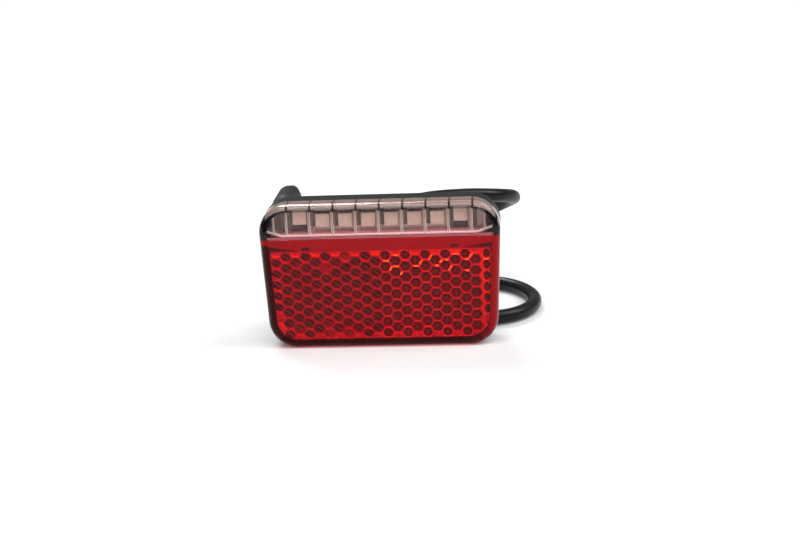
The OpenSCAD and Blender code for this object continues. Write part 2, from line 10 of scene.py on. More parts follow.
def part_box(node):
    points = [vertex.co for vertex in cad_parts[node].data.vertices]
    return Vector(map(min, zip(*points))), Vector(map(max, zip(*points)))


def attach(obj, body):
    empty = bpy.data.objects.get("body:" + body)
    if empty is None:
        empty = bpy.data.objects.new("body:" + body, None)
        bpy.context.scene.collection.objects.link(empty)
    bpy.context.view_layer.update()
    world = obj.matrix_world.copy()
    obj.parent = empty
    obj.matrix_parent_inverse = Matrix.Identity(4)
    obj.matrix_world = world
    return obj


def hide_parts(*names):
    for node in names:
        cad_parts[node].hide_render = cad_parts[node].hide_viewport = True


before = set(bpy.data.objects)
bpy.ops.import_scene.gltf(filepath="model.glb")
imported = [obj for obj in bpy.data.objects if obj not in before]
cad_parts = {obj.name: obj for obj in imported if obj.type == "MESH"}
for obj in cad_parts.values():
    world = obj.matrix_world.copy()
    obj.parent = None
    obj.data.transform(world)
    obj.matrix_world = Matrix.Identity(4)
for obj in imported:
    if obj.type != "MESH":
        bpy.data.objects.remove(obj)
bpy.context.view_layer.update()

bl_info = {
    "name": "Bicycle rear light",
    "version": (1, 0, 0),
    "blender": (4, 5, 0),
    "location": "View3D > Sidebar > Rear light",
    "description": "Looks for a packed bicycle rear light: lens cap, reflector, cells, lead and stage",
    "category": "Object",
}

MM = 0.001
BODY = "root"

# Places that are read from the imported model
LENS_LOW, LENS_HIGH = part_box("clear_lens")
INSERT_LOW, INSERT_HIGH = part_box("reflex_insert")
BACK_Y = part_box("rear_housing")[1].y
FRONT_Y = LENS_LOW.y
SPLIT_Z = LENS_LOW.z


def linear(code):
    """Linear colour of an sRGB hex value."""
    parts = [int(code[k:k + 2], 16) / 255 for k in (1, 3, 5)]
    return [p / 12.92 if p <= 0.04045 else ((p + 0.055) / 1.055) ** 2.4 for p in parts]


# Settings that a user would change

def length(name, description, default, least, most):
    """Length property in metres, from millimetres."""
    return FloatProperty(name=name, description=description, default=default * MM, min=least * MM,
                         max=most * MM, unit="LENGTH", subtype="DISTANCE", precision=4)


def colour(name, description, code):
    """Colour property from an sRGB hex value."""
    return FloatVectorProperty(name=name, description=description, subtype="COLOR", size=3, min=0, max=1,
                               default=linear(code))


class RearLightSizes(bpy.types.PropertyGroup):
    """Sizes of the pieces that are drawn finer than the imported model."""
    corner_r: length("Corner radius", "Corner radius of the outline", 9, 7, 11)
    side_taper: FloatProperty(
        name="Side lean", description="Lean of each side, narrower towards the bottom",
        default=math.radians(2.6), min=0, max=math.radians(4), subtype="ANGLE")
    front_round: length("Front rounding", "Rounding of the cap's front edge", 2.5, 2, 3.5)
    lens_wall: length("Lens wall", "Thickness of the lens cap", 1.8, 1.5, 2.1)
    cap_side: length("Cap side", "Thickness of the cap's wall outside the housing's rim", 0.9, 0.7, 1.2)
    prism_side: length("Prism side", "Side of one cube-corner hexagon", 2.02, 1.8, 2.4)
    plate_t: length("Margin plate", "Thickness of the reflector's plain margin", 1, 0.8, 1.4)
    field_depth: length("Field depth", "Seeming depth of the prisms behind the plate", 0.15, 0.1, 1)
    field_top: length("Field top", "Height of the prism field's upper edge", 30.6, 28, 32)
    field_inset: length("Field inset", "Prism field in from the outline", 2.7, 2.4, 3.4)
    skirt_t: length("Skirt", "Thickness of the skirt round the prisms", 0.4, 0.2, 0.6)
    slot_x: length("Slot place", "Slots for the tray's lugs, from the middle", 22.6, 15, 25)
    slot_z: length("Slot height", "Height of the slots' middle", 31.5, 31, 33)
    slot_w: length("Slot width", "Width of a slot", 2.4, 1.7, 3.2)
    slot_h: length("Slot opening", "Height of a slot's opening", 0.9, 0.7, 1)
    stud_spacing: length("Stud spacing", "Distance between the studs", 50, 40, 80)
    stud_pitch: length("Thread pitch", "Pitch of the stud threads", 0.8, 0.5, 1.25)
    stud_d: length("Stud diameter", "Outer diameter of the stud threads", 5, 4, 6)
    cable_d: length("Lead diameter", "Diameter of the lead", 4.5, 4, 5)
    cell_pitch: length("Cell pitch", "Distance between the dividers of the light cells", 7, 6, 8)


class RearLightColours(bpy.types.PropertyGroup):
    """Colours of the materials."""
    housing: colour("Housing", "Black moulded plastic", "#131316")
    rubber: colour("Rubber", "Seals and grommet", "#111112")
    jacket: colour("Lead", "Jacket of the lead", "#0B0B0C")
    plug: colour("Plug", "Plug shell", "#262729")
    clear: colour("Clear lens", "What a clear wall lets through", "#FFFAF8")
    # The clear edge's pale haze on the lens's upper rounding and side wall is partly painted light
    clear_edge: colour("Clear lens edge", "Hazy upper edge of the clear lens", "#C9A79B")
    red: colour("Red lens", "What a red wall lets through", "#F9818C")
    red_edge: colour("Red lens edge", "Hazy rim of the red wall", "#C0161F")
    # The prisms' dark insides, bright webs and hot edges are painted light and shade, for how cube corners
    # reflect
    prism_dark: colour("Prism", "Inside of the cube corners", "#4C0A18")
    prism_web: colour("Prism web", "Webs between the cube corners", "#C62052")
    prism_hot: colour("Prism edge", "Edges and cut prisms that catch the light", "#FF6A3C")
    tray: colour("Cell tray", "What the clear comb of the light cells lets through", "#FBF4F0")
    tray_edge: colour("Cell edge", "Hazy edges of the clear comb", "#E2CFC8")
    # The cell floor's pink is partly painted light, the red of the lens below it
    tray_floor: colour("Cell floor", "Hazy floor of the light cells", "#E2A0AA")
    lamp: colour("Lamp", "Body of a lamp package", "#FBE3D8")
    lamp_window: colour("Lamp window", "Round window of a lamp", "#FADFD3")
    # Board: its mid tone shows as painted shade in a strip left of each lamp, and the pale colour beside and
    # below the lamps is partly its own and partly painted light
    board: colour("Board", "Mask of the circuit board", "#8E8482")
    board_light: colour("Lands", "Pale printed lands beside and below the lamps", "#F4E0D8")
    silicone: colour("Plug seal", "Seal at the plug's nose", "#9C4A24")
    floor: colour("Floor", "Studio floor", "#C8C8C8")


class RearLightSettings(bpy.types.PropertyGroup):
    """Everything that the operators read."""
    sizes: PointerProperty(type=RearLightSizes)
    colours: PointerProperty(type=RearLightColours)
    corner_steps: IntProperty(
        name="Corner steps", description="Facets in each corner of the cap", default=28, min=8, max=64)
    round_steps: IntProperty(
        name="Rounding steps", description="Facets across the cap's rounding", default=16, min=4, max=32)


def settings():
    """Settings of the scene."""
    return bpy.context.scene.rear_light


# Material nodes

# Half width and tone of the divider lines that show in the lens rounding, and the top of the tray's floor
DIVIDER_LINE = 0.42 * MM
DIVIDER_TONE = 0.08
TRAY_FLOOR = SPLIT_Z + 1.2 * MM
# The tray's lugs stand in the dark behind the reflector's margin
LUG_TOP = SPLIT_Z - 0.4 * MM
LUG_SHADE = linear("#351216")
# Noise levels between which a grain goes from dark to light, the swing of its gloss, and its bump
GRAIN_LOW = 0.45
GRAIN_HIGH = 1.05
GLOSS_SWING = 0.07
LEAST_ROUGH = 0.02
BUMP_STRENGTH = 0.6
# Refraction of the two clear resins
POLYCARBONATE_IOR = 1.585
ACRYLIC_IOR = 1.49


def add(tree, kind, options=None, inputs=None):
    """Adds one node, sets its options and fills its inputs with values or links."""
    made = tree.nodes.new(kind)
    for key, value in (options or {}).items():
        setattr(made, key, value)
    for key, value in (inputs or {}).items():
        if isinstance(value, bpy.types.NodeSocket):
            tree.links.new(value, made.inputs[key])
        else:
            made.inputs[key].default_value = value
    return made


def shade(base, factor):
    """Colour with alpha, made lighter or darker."""
    return [min(1.0, c * factor) for c in base[:3]] + [1.0]


def blank(name):
    """Empty node material and its tree."""
    material = bpy.data.materials.new(name)
    material.use_nodes = True
    material.node_tree.nodes.clear()
    return material, material.node_tree


def surface(tree, shader):
    """Links a shader to the material's output."""
    add(tree, "ShaderNodeOutputMaterial", inputs={"Surface": shader})


def grained(name, base, grain_mm, depth_mm, rough, spread=0.15, wear_mm=12.0, below=None, **extra):
    """Material with a fine random grain of real size under a broad drift of tone and gloss. It can have a
    second colour below a height."""
    material, tree = blank(name)
    spot = add(tree, "ShaderNodeTexCoord").outputs["Object"]
    fine = add(tree, "ShaderNodeTexNoise", inputs={
        "Vector": spot, "Scale": 1 / (grain_mm * MM), "Detail": 3.0, "Roughness": 0.55})
    broad = add(tree, "ShaderNodeTexNoise", inputs={
        "Vector": spot, "Scale": 1 / (wear_mm * MM), "Detail": 2.0})
    both = add(tree, "ShaderNodeMath", {"operation": "MULTIPLY_ADD"}, {
        0: fine.outputs["Fac"], 1: 0.5, 2: broad.outputs["Fac"]})
    tone = add(tree, "ShaderNodeMapRange", inputs={
        "Value": both.outputs["Value"], "From Min": GRAIN_LOW, "From Max": GRAIN_HIGH})
    tint = add(tree, "ShaderNodeMix", {"data_type": "RGBA"}, {
        "Factor": tone.outputs["Result"], "A": shade(base, 1 - spread), "B": shade(base, 1 + spread)})
    if below:
        height = add(tree, "ShaderNodeSeparateXYZ", inputs={"Vector": spot}).outputs["Z"]
        over = add(tree, "ShaderNodeMath", {"operation": "GREATER_THAN"}, {0: height, 1: below[0]})
        tint = add(tree, "ShaderNodeMix", {"data_type": "RGBA"}, {
            "Factor": over.outputs["Value"], "A": shade(below[1], 1), "B": tint.outputs["Result"]})
    gloss = add(tree, "ShaderNodeMapRange", inputs={
        "Value": both.outputs["Value"], "From Min": GRAIN_LOW, "From Max": GRAIN_HIGH,
        "To Min": max(LEAST_ROUGH, rough - GLOSS_SWING), "To Max": rough + GLOSS_SWING})
    bump = add(tree, "ShaderNodeBump", inputs={
        "Height": fine.outputs["Fac"], "Distance": depth_mm * MM, "Strength": BUMP_STRENGTH})
    inputs = {"Base Color": tint.outputs["Result"], "Roughness": gloss.outputs["Result"],
              "Normal": bump.outputs["Normal"]}
    inputs.update(extra)
    shader = add(tree, "ShaderNodeBsdfPrincipled", inputs=inputs)
    surface(tree, shader.outputs["BSDF"])
    return material


def glassy(name, through, ior, rough, flow_mm, clarity=1.0, mirror=1.0, shadow=1.0, pitch=0.0, below=None):
    """Clear moulded plastic that lets lamps through, with faint flow marks in its gloss. It can have thin
    dark lines at a regular distance across, which paint where the tray's dividers show through and break
    its reflection, and another clarity and colour below a height, with painted shade below the lugs' top."""
    material, tree = blank(name)
    sheen = (mirror, mirror, mirror, 1)
    spot = add(tree, "ShaderNodeTexCoord").outputs["Object"]
    flow = add(tree, "ShaderNodeTexNoise", inputs={
        "Vector": spot, "Scale": 1 / (flow_mm * MM), "Detail": 2.0})
    gloss = add(tree, "ShaderNodeMapRange", inputs={
        "Value": flow.outputs["Fac"], "To Min": rough * 0.5, "To Max": rough * 1.5})
    wall = add(tree, "ShaderNodeBsdfPrincipled", inputs={
        "Base Color": shade(through, 1), "Roughness": gloss.outputs["Result"], "IOR": ior,
        "Transmission Weight": clarity, "Specular Tint": sheen})
    if below:
        height = add(tree, "ShaderNodeSeparateXYZ", inputs={"Vector": spot}).outputs["Z"]
        over = add(tree, "ShaderNodeMath", {"operation": "GREATER_THAN"}, {0: height, 1: below[0]})
        haze = add(tree, "ShaderNodeMapRange", inputs={
            "Value": over.outputs["Value"], "To Min": below[1], "To Max": clarity})
        tree.links.new(haze.outputs["Result"], wall.inputs["Transmission Weight"])
        tint = add(tree, "ShaderNodeMix", {"data_type": "RGBA"}, {
            "Factor": over.outputs["Value"], "A": shade(below[2], 1), "B": shade(through, 1)})
        deep = add(tree, "ShaderNodeMath", {"operation": "GREATER_THAN"}, {0: height, 1: LUG_TOP})
        tint = add(tree, "ShaderNodeMix", {"data_type": "RGBA"}, {
            "Factor": deep.outputs["Value"], "A": shade(LUG_SHADE, 1), "B": tint.outputs["Result"]})
        tree.links.new(tint.outputs["Result"], wall.inputs["Base Color"])
    if pitch:
        across = add(tree, "ShaderNodeSeparateXYZ", inputs={"Vector": spot}).outputs["X"]
        moved = add(tree, "ShaderNodeMath", {"operation": "SUBTRACT"}, {0: across, 1: DIVIDER_LINE})
        gap = add(tree, "ShaderNodeMath", {"operation": "PINGPONG"}, {
            0: moved.outputs["Value"], 1: pitch / 2})
        open_wall = add(tree, "ShaderNodeMapRange", inputs={
            "Value": gap.outputs["Value"], "From Min": DIVIDER_LINE * 0.5, "From Max": DIVIDER_LINE})
        for socket, level in (("Base Color", shade(through, 1)), ("Specular Tint", sheen)):
            line = add(tree, "ShaderNodeMix", {"data_type": "RGBA"}, {
                "Factor": open_wall.outputs["Result"], "A": shade(level, DIVIDER_TONE), "B": level})
            tree.links.new(line.outputs["Result"], wall.inputs[socket])
    clear = add(tree, "ShaderNodeBsdfTransparent", inputs={
        "Color": [math.sqrt(c) * clarity * shadow for c in through[:3]] + [1.0]})
    path = add(tree, "ShaderNodeLightPath")
    mix = add(tree, "ShaderNodeMixShader", inputs={
        0: path.outputs["Is Shadow Ray"], 1: wall.outputs["BSDF"], 2: clear.outputs["BSDF"]})
    surface(tree, mix.outputs["Shader"])
    return material


# Mesh helpers

# Corners of a CAD mesh this near are joined, and edges of at least this angle are softened
WELD_GAP = 0.002 * MM
SOFT_ANGLE = math.radians(35)


def to_mesh(bm, name):
    """Mesh from a finished bmesh."""
    mesh = bpy.data.meshes.new(name)
    bm.to_mesh(mesh)
    bm.free()
    return mesh


def sliced(bm, reach, spot, normal, **options):
    """Cuts a bmesh with a plane, and gives what the cut made. Points within reach count as on the plane."""
    geometry = bm.verts[:] + bm.edges[:] + bm.faces[:]
    return bmesh.ops.bisect_plane(bm, geom=geometry, dist=reach, plane_co=spot, plane_no=normal, **options)


def place(mesh, materials, node, sharp=32):
    """Puts a mesh in the place of a CAD node, smooth except along edges sharper than an angle."""
    mesh.validate()
    for material in materials:
        mesh.materials.append(material)
    mesh.shade_smooth()
    mesh.set_sharp_from_angle(angle=math.radians(sharp))
    obj = bpy.data.objects.new(mesh.name, mesh)
    bpy.context.scene.collection.objects.link(obj)
    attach(obj, BODY)
    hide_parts(node)


def finish_node(node, material, soft_mm=0.0, edge=None):
    """Gives a CAD node its material and, with a width, softened edges, which can have a second material."""
    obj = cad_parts[node]
    obj.data.materials.clear()
    obj.data.materials.append(material)
    if edge:
        obj.data.materials.append(edge)
    weld = obj.modifiers.new("Joined facets", "WELD")
    weld.merge_threshold = WELD_GAP
    if soft_mm:
        bevel = obj.modifiers.new("Soft edges", "BEVEL")
        bevel.width = soft_mm * MM
        bevel.segments = 2
        bevel.limit_method = "ANGLE"
        bevel.angle_limit = SOFT_ANGLE
        bevel.use_clamp_overlap = True
        bevel.harden_normals = True
        bevel.material = 1 if edge else -1


def arc(cx, cz, r, start, turn, steps):
    """Points on an arc in the face plane, angles in radians."""
    return [(cx + r * math.cos(start + turn * k / steps), cz + r * math.sin(start + turn * k / steps))
            for k in range(steps + 1)]


class Outline:
    """Outline of the light from the front: rounded corners, and sides that lean in towards the bottom."""

    def __init__(self, sizes, steps):
        self.r = sizes.corner_r
        self.lean = sizes.side_taper
        self.steps = steps
        self.top = LENS_HIGH.z
        # The widest points of the box are on the upper corner arcs
        self.top_x = LENS_HIGH.x - self.r
        rise = self.top - 2 * self.r
        self.bottom_x = self.top_x - rise * math.tan(self.lean)

    def loop(self, inset):
        """Closed loop, anticlockwise from the lower right corner."""
        quarter = math.pi / 2
        r = self.r - inset
        high = self.top - self.r
        return (arc(self.bottom_x, self.r, r, -quarter, quarter - self.lean, self.steps)
                + arc(self.top_x, high, r, -self.lean, quarter + self.lean, self.steps)
                + arc(-self.top_x, high, r, quarter, quarter + self.lean, self.steps)
                + arc(-self.bottom_x, self.r, r, 2 * quarter + self.lean, quarter - self.lean, self.steps))

    def normals(self):
        """Outward direction across and up for each step of the loop."""
        loop = [Vector(p) for p in self.loop(0)]
        ahead = [b - a for a, b in zip(loop, loop[1:] + loop[:1])]
        return [Vector((step.y, -step.x)).normalized() for step in ahead]

    def side_x(self, inset, z):
        """Half width at a height, on the straight side."""
        return self.bottom_x + (self.r - inset) / math.cos(self.lean) + (z - self.r) * math.tan(self.lean)

    def low_loop(self, inset, top, corner):
        """Loop of the part below a height, with small upper corners."""
        quarter = math.pi / 2
        r = self.r - inset
        small = max(4, self.steps // 3)
        cx = self.side_x(inset + corner, top - corner)
        return (arc(self.bottom_x, self.r, r, -quarter, quarter - self.lean, self.steps)
                + arc(cx, top - corner, corner, -self.lean, quarter + self.lean, small)
                + arc(-cx, top - corner, corner, quarter, quarter + self.lean, small)
                + arc(-self.bottom_x, self.r, r, 2 * quarter + self.lean, quarter - self.lean, self.steps))


def bands(loops):
    """Points and faces of a closed skin over loops of equal length, each a list of points."""
    count = len(loops[0])
    points = [p for loop in loops for p in loop]
    faces = []
    for k in range(len(loops) - 1):
        for s in range(count):
            a = k * count + s
            b = k * count + (s + 1) % count
            faces.append((a, b, b + count, a + count))
    faces.append(tuple(reversed(range(count))))
    faces.append(tuple(range((len(loops) - 1) * count, len(loops) * count)))
    return points, faces


def turned(profile, centre, sides):
    """Skin of a form turned about the Y axis: profile of (radius, distance along Y)."""
    angles = [2 * math.pi * s / sides for s in range(sides)]
    return bands([[(centre.x + r * math.cos(a), centre.y + y, centre.z + r * math.sin(a)) for a in angles]
                  for r, y in profile])


def joined(parts):
    """One list of points and faces from several."""
    points = []
    faces = []
    for more, skin in parts:
        start = len(points)
        points += more
        faces += [tuple(k + start for k in face) for face in skin]
    return points, faces


# Route of the lead in millimetres, from the bend relief to the plug
ROUTE = [
    (0, 12, 33), (0, 18, 33), (2, 28, 33.5), (11, 39, 34), (24, 45, 33.5), (35, 50, 32), (40.5, 60, 29),
    (38, 70, 25), (28, 77, 19), (13, 81, 12), (-4, 80, 6), (-18, 74, 3), (-28, 62, 2.5), (-26, 49, 2.5),
    (-14, 41, 2.5), (3, 41, 2.5), (19, 46, 2.5), (33, 46, 2.5), (42, 39, 2.5), (46.5, 28, 2.5),
    (45, 17, 2.5), (38, 9, 2.5), (25, 6, 2.5), (8, 6, 2.5), (-10, 7, 2.5), (-25, 14, 2.5),
    (-33, 28, 2.5), (-38, 46, 2.5), (-43, 68, 2.5), (-48, 90, 2.5), (-52, 112, 3), (-53, 132, 4.5),
    (-53, 144, 5),
]
ROUTE_STEPS = 8


def smooth_path(route, steps):
    """Smooth curve through the points, with the ends continued straight."""
    points = [Vector(p) for p in route]
    points = [2 * points[0] - points[1]] + points + [2 * points[-1] - points[-2]]
    path = []
    for k in range(1, len(points) - 2):
        a, b, c, d = points[k - 1:k + 3]
        for s in range(steps):
            t = s / steps
            path.append(0.5 * (2 * b + (c - a) * t + (2 * a - 5 * b + 4 * c - d) * t ** 2
                               + (3 * b - a - 3 * c + d) * t ** 3))
    path.append(points[-2])
    return path


# Camera, fitted to the picture: the orbit point is on the front face
ORBIT = Vector((0, -13, 24)) * MM
ORBIT_DISTANCE = 484.1 * MM
ORBIT_RISE = math.radians(16.0)
ORBIT_TURN = math.radians(5.15)
ORBIT_ROLL = math.radians(-2.74)
FOCAL = 72.0
SENSOR = 36.0
SHIFT = (0.0246, 0.00675)
CLIP_START = 10 * MM

# Studio: light of the room, the paper's half side, lift, fibre and tone spread, and soft boxes with place,
# aim, width, height and watts
ROOM_LIGHT = 0.3
PAPER_HALF = 4.0
PAPER_LIFT = 0.1
PAPER_FIBRE = 1.11 * MM
PAPER_SPREAD = 0.02
LAMPS = (
    ("overhead", (-0.15, -1.2, 3.0), (-0.1, 0.0, 0.02), 3.0, 1.0, 80.0),
    ("right", (2.0, -0.1, 2.4), (0, 0, 0.02), 1.8, 1.8, 62.0),
    ("rear", (-1.0, 1.8, 2.8), (0, 0.05, 0.02), 1.5, 1.0, 66.0),
    ("front", (0.7, -2.2, 1.4), (0, 0, 0.02), 1.2, 1.2, 10.0),
)


class REARLIGHT_OT_stage(bpy.types.Operator):
    """Camera, floor, world and lamps of a plain bright studio"""
    bl_idname = "rearlight.stage"
    bl_label = "Stage"

    def execute(self, context):
        scene = context.scene
        back = Vector((math.sin(ORBIT_TURN) * math.cos(ORBIT_RISE),
                       -math.cos(ORBIT_TURN) * math.cos(ORBIT_RISE), math.sin(ORBIT_RISE)))
        right = (-back).cross(Vector((0, 0, 1))).normalized()
        up = right.cross(-back)
        level = right * math.cos(ORBIT_ROLL) + up * math.sin(ORBIT_ROLL)
        upright = up * math.cos(ORBIT_ROLL) - right * math.sin(ORBIT_ROLL)
        data = bpy.data.cameras.new("Camera")
        data.lens = FOCAL
        data.sensor_width = SENSOR
        data.shift_x, data.shift_y = SHIFT
        data.clip_start = CLIP_START
        camera = bpy.data.objects.new("Camera", data)
        turn = Matrix((level, upright, back)).transposed().to_4x4()
        camera.matrix_world = Matrix.Translation(ORBIT + back * ORBIT_DISTANCE) @ turn
        scene.collection.objects.link(camera)
        scene.camera = camera

        # White paper: matt, lifted to paper white where the camera, gloss or glass sees it
        paper, tree = blank("white_paper")
        spot = add(tree, "ShaderNodeTexCoord").outputs["Object"]
        fibre = add(tree, "ShaderNodeTexNoise", inputs={
            "Vector": spot, "Scale": 1 / PAPER_FIBRE, "Detail": 2.0})
        white = settings().colours.floor
        tint = add(tree, "ShaderNodeMix", {"data_type": "RGBA"}, {
            "Factor": fibre.outputs["Fac"], "A": shade(white, 1 - PAPER_SPREAD),
            "B": shade(white, 1 + PAPER_SPREAD)})
        matt = add(tree, "ShaderNodeBsdfDiffuse", inputs={"Color": tint.outputs["Result"]})
        path = add(tree, "ShaderNodeLightPath")
        seen = add(tree, "ShaderNodeMath", {"operation": "MAXIMUM"}, {
            0: path.outputs["Is Camera Ray"], 1: path.outputs["Is Glossy Ray"]})
        seen = add(tree, "ShaderNodeMath", {"operation": "MAXIMUM"}, {
            0: seen.outputs["Value"], 1: path.outputs["Is Transmission Ray"]})
        lift = add(tree, "ShaderNodeMath", {"operation": "MULTIPLY"}, {
            0: seen.outputs["Value"], 1: PAPER_LIFT})
        glow = add(tree, "ShaderNodeEmission", inputs={
            "Color": (1, 1, 1, 1), "Strength": lift.outputs["Value"]})
        sheet = add(tree, "ShaderNodeAddShader", inputs={
            0: matt.outputs["BSDF"], 1: glow.outputs["Emission"]})
        surface(tree, sheet.outputs["Shader"])
        bm = bmesh.new()
        bmesh.ops.create_grid(bm, x_segments=8, y_segments=8, size=PAPER_HALF)
        mesh = to_mesh(bm, "floor")
        mesh.materials.append(paper)
        floor = bpy.data.objects.new("floor", mesh)
        scene.collection.objects.link(floor)

        # Dim white room
        world = bpy.data.worlds.new("Studio")
        world.use_nodes = True
        world.node_tree.nodes["Background"].inputs["Color"].default_value = (1, 1, 1, 1)
        world.node_tree.nodes["Background"].inputs["Strength"].default_value = ROOM_LIGHT
        scene.world = world
        scene.view_settings.view_transform = "Standard"

        # Soft boxes: a long one overhead, one to the right, one behind, and a weak one in front
        for name, spot, aim, width, height, power in LAMPS:
            lamp = bpy.data.lights.new(name, "AREA")
            lamp.shape = "RECTANGLE"
            lamp.size = width
            lamp.size_y = height
            lamp.energy = power
            obj = bpy.data.objects.new(name, lamp)
            obj.location = spot
            obj.rotation_euler = (Vector(aim) - Vector(spot)).to_track_quat("-Z", "Y").to_euler()
            scene.collection.objects.link(obj)
        return {"FINISHED"}


class REARLIGHT_OT_lead(bpy.types.Operator):
    """Round black lead that lies in loose loops behind the light"""
    bl_idname = "rearlight.lead"
    bl_label = "Lead"

    def execute(self, context):
        sizes = settings().sizes
        path = [p * MM for p in smooth_path(ROUTE, ROUTE_STEPS)]
        curve = bpy.data.curves.new("lead", "CURVE")
        curve.dimensions = "3D"
        curve.bevel_depth = sizes.cable_d / 2
        curve.bevel_resolution = 8
        curve.use_fill_caps = True
        line = curve.splines.new("POLY")
        line.points.add(len(path) - 1)
        for point, spot in zip(line.points, path):
            point.co = (*spot, 1)
        line.use_smooth = True
        # Soft black vinyl, drawn through a die: satin, and faintly uneven
        vinyl = grained("black_vinyl", settings().colours.jacket, grain_mm=0.9, depth_mm=0.02, rough=0.36,
                        spread=0.2, wear_mm=15.0, **{"Specular IOR Level": 0.22})
        curve.materials.append(vinyl)
        obj = bpy.data.objects.new("lead", curve)
        context.scene.collection.objects.link(obj)
        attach(obj, BODY)
        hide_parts("cable")
        return {"FINISHED"}


class REARLIGHT_OT_plug(bpy.types.Operator):
    """Plug shell, nose, contacts and seal at the lead's end"""
    bl_idname = "rearlight.plug"
    bl_label = "Plug"

    def execute(self, context):
        colours = settings().colours
        # Moulded-on soft vinyl: dull, with a fine spark-eroded grain
        shell = grained("moulded_vinyl", colours.plug, grain_mm=0.35, depth_mm=0.012, rough=0.5, spread=0.18,
                        wear_mm=8.0, **{"Specular IOR Level": 0.35})
        finish_node("plug_shell", shell, soft_mm=0.18)
        # Nylon nose: smoother and harder than the shell
        nylon = grained("black_nylon", colours.housing, grain_mm=0.25, depth_mm=0.006, rough=0.38,
                        wear_mm=6.0)
        finish_node("plug_insert", nylon, soft_mm=0.15)
        # Turned brass: warm metal with a soft sheen
        brass = grained("turned_brass", linear("#B8924A"), grain_mm=0.2, depth_mm=0.004, rough=0.28,
                        spread=0.12, wear_mm=3.0, Metallic=1.0)
        finish_node("plug_contacts", brass, soft_mm=0.08)
        # Silicone: matt and slightly waxy
        silicone = grained("silicone", colours.silicone, grain_mm=0.4, depth_mm=0.006, rough=0.55,
                           spread=0.12, wear_mm=3.0,
                           **{"Subsurface Weight": 0.15, "Subsurface Scale": 0.001})
        finish_node("plug_seal", silicone, soft_mm=0.1)
        return {"FINISHED"}


class REARLIGHT_OT_grommet(bpy.types.Operator):
    """Rubber grommet with its ribbed bend relief and the stretch of lead that it holds, and the seals"""
    bl_idname = "rearlight.grommet"
    bl_label = "Grommet"

    def execute(self, context):
        colours = settings().colours
        # Compression-moulded rubber: dull black with a dusty bloom
        rubber = grained("black_rubber", colours.rubber, grain_mm=0.5, depth_mm=0.015, rough=0.62,
                         spread=0.25, wear_mm=6.0, **{"Specular IOR Level": 0.3})
        for node, soft_mm in (("cable_grommet", 0.2), ("rim_seal", 0.08), ("stud_seals", 0.15)):
            finish_node(node, rubber, soft_mm)
        finish_node("cable_tail", bpy.data.materials["black_vinyl"])
        return {"FINISHED"}


class REARLIGHT_OT_housing(bpy.types.Operator):
    """Black moulded housing"""
    bl_idname = "rearlight.housing"
    bl_label = "Housing"

    def execute(self, context):
        # Injection-moulded plastic: satin, its spark-eroded grain drawn coarser than the real 0.1 mm to show
        plastic = grained("black_abs", settings().colours.housing, grain_mm=0.3, depth_mm=0.01, rough=0.42,
                          spread=0.16, wear_mm=14.0, **{"Specular IOR Level": 0.13})
        finish_node("rear_housing", plastic, soft_mm=0.12)
        return {"FINISHED"}


# Studs: head height, neck radius, end chamfer, thread depth as a share of the pitch, how flat its crests are,
# and steps round the stud and along one pitch
HEAD_H = 3.0 * MM
NECK_R = 2.1 * MM
CHAMFER = 0.6 * MM
THREAD_DEPTH = 0.61
CREST_FLAT = 1.25
THREAD_SIDES = 40
THREAD_ROWS = 8


class REARLIGHT_OT_studs(bpy.types.Operator):
    """Zinc-plated studs with cut threads"""
    bl_idname = "rearlight.studs"
    bl_label = "Studs"

    def execute(self, context):
        sizes = settings().sizes
        low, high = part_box("mounting_studs")
        # Zinc-plated steel: bright, faintly clouded and a little blue
        steel = grained("zinc_plated_steel", linear("#B9BDC1"), grain_mm=0.8, depth_mm=0.004, rough=0.3,
                        spread=0.08, wear_mm=5.0, Metallic=1.0)
        major = sizes.stud_d / 2
        minor = major - THREAD_DEPTH * sizes.stud_pitch
        head_r = (high.x - low.x - sizes.stud_spacing) / 2
        parts = []
        for x in (-sizes.stud_spacing / 2, sizes.stud_spacing / 2):
            centre = Vector((x, 0, (low.z + high.z) / 2))
            head = [(head_r * 0.55, low.y), (head_r * 0.88, low.y), (head_r, low.y + 0.12 * HEAD_H),
                    (head_r, low.y + HEAD_H), (head_r * 0.5, low.y + HEAD_H)]
            parts.append(turned(head, centre, 6))
            neck = [(NECK_R, low.y + HEAD_H * 0.9), (NECK_R, BACK_Y), (minor, BACK_Y)]
            parts.append(turned(neck, centre, THREAD_SIDES))
            rows = int((high.y - BACK_Y) / sizes.stud_pitch * THREAD_ROWS)
            loops = []
            for k in range(rows + 1):
                y = BACK_Y + (high.y - BACK_Y) * k / rows
                end = min(1.0, (high.y - y) / CHAMFER)
                start = min(1.0, (y - BACK_Y) / sizes.stud_pitch)
                loop = []
                for s in range(THREAD_SIDES):
                    phase = (y / sizes.stud_pitch - s / THREAD_SIDES) % 1.0
                    crest = 1.0 - abs(2 * phase - 1)
                    r = minor + (major - minor) * min(1.0, CREST_FLAT * crest) * start
                    r = min(r, major - CHAMFER * (1 - end))
                    turn = 2 * math.pi * s / THREAD_SIDES
                    loop.append((centre.x + r * math.cos(turn), y, centre.z + r * math.sin(turn)))
                loops.append(loop)
            parts.append(bands(loops))
        points, faces = joined(parts)
        mesh = bpy.data.meshes.new("studs")
        mesh.from_pydata(points, [], faces)
        mesh.update()
        place(mesh, [steel], "mounting_studs", 40)
        return {"FINISHED"}


# Lens cap: drop of the hazy stripe below the joint of the two shots, half the gap of the joint, place of the
# loop on the cap's side as a share of the depth, and how near to a cut, in metres, points count as on it
STRIPE_DROP = 1.7 * MM
SEAM = 0.01 * MM
SIDE_LOOP = 0.68
LENS_REACH = 1e-7
# Materials of the clear lens, in the order of its slots
CLEAR, RIM, EDGE, SIDE, WALL, TURN, CROWN = range(7)
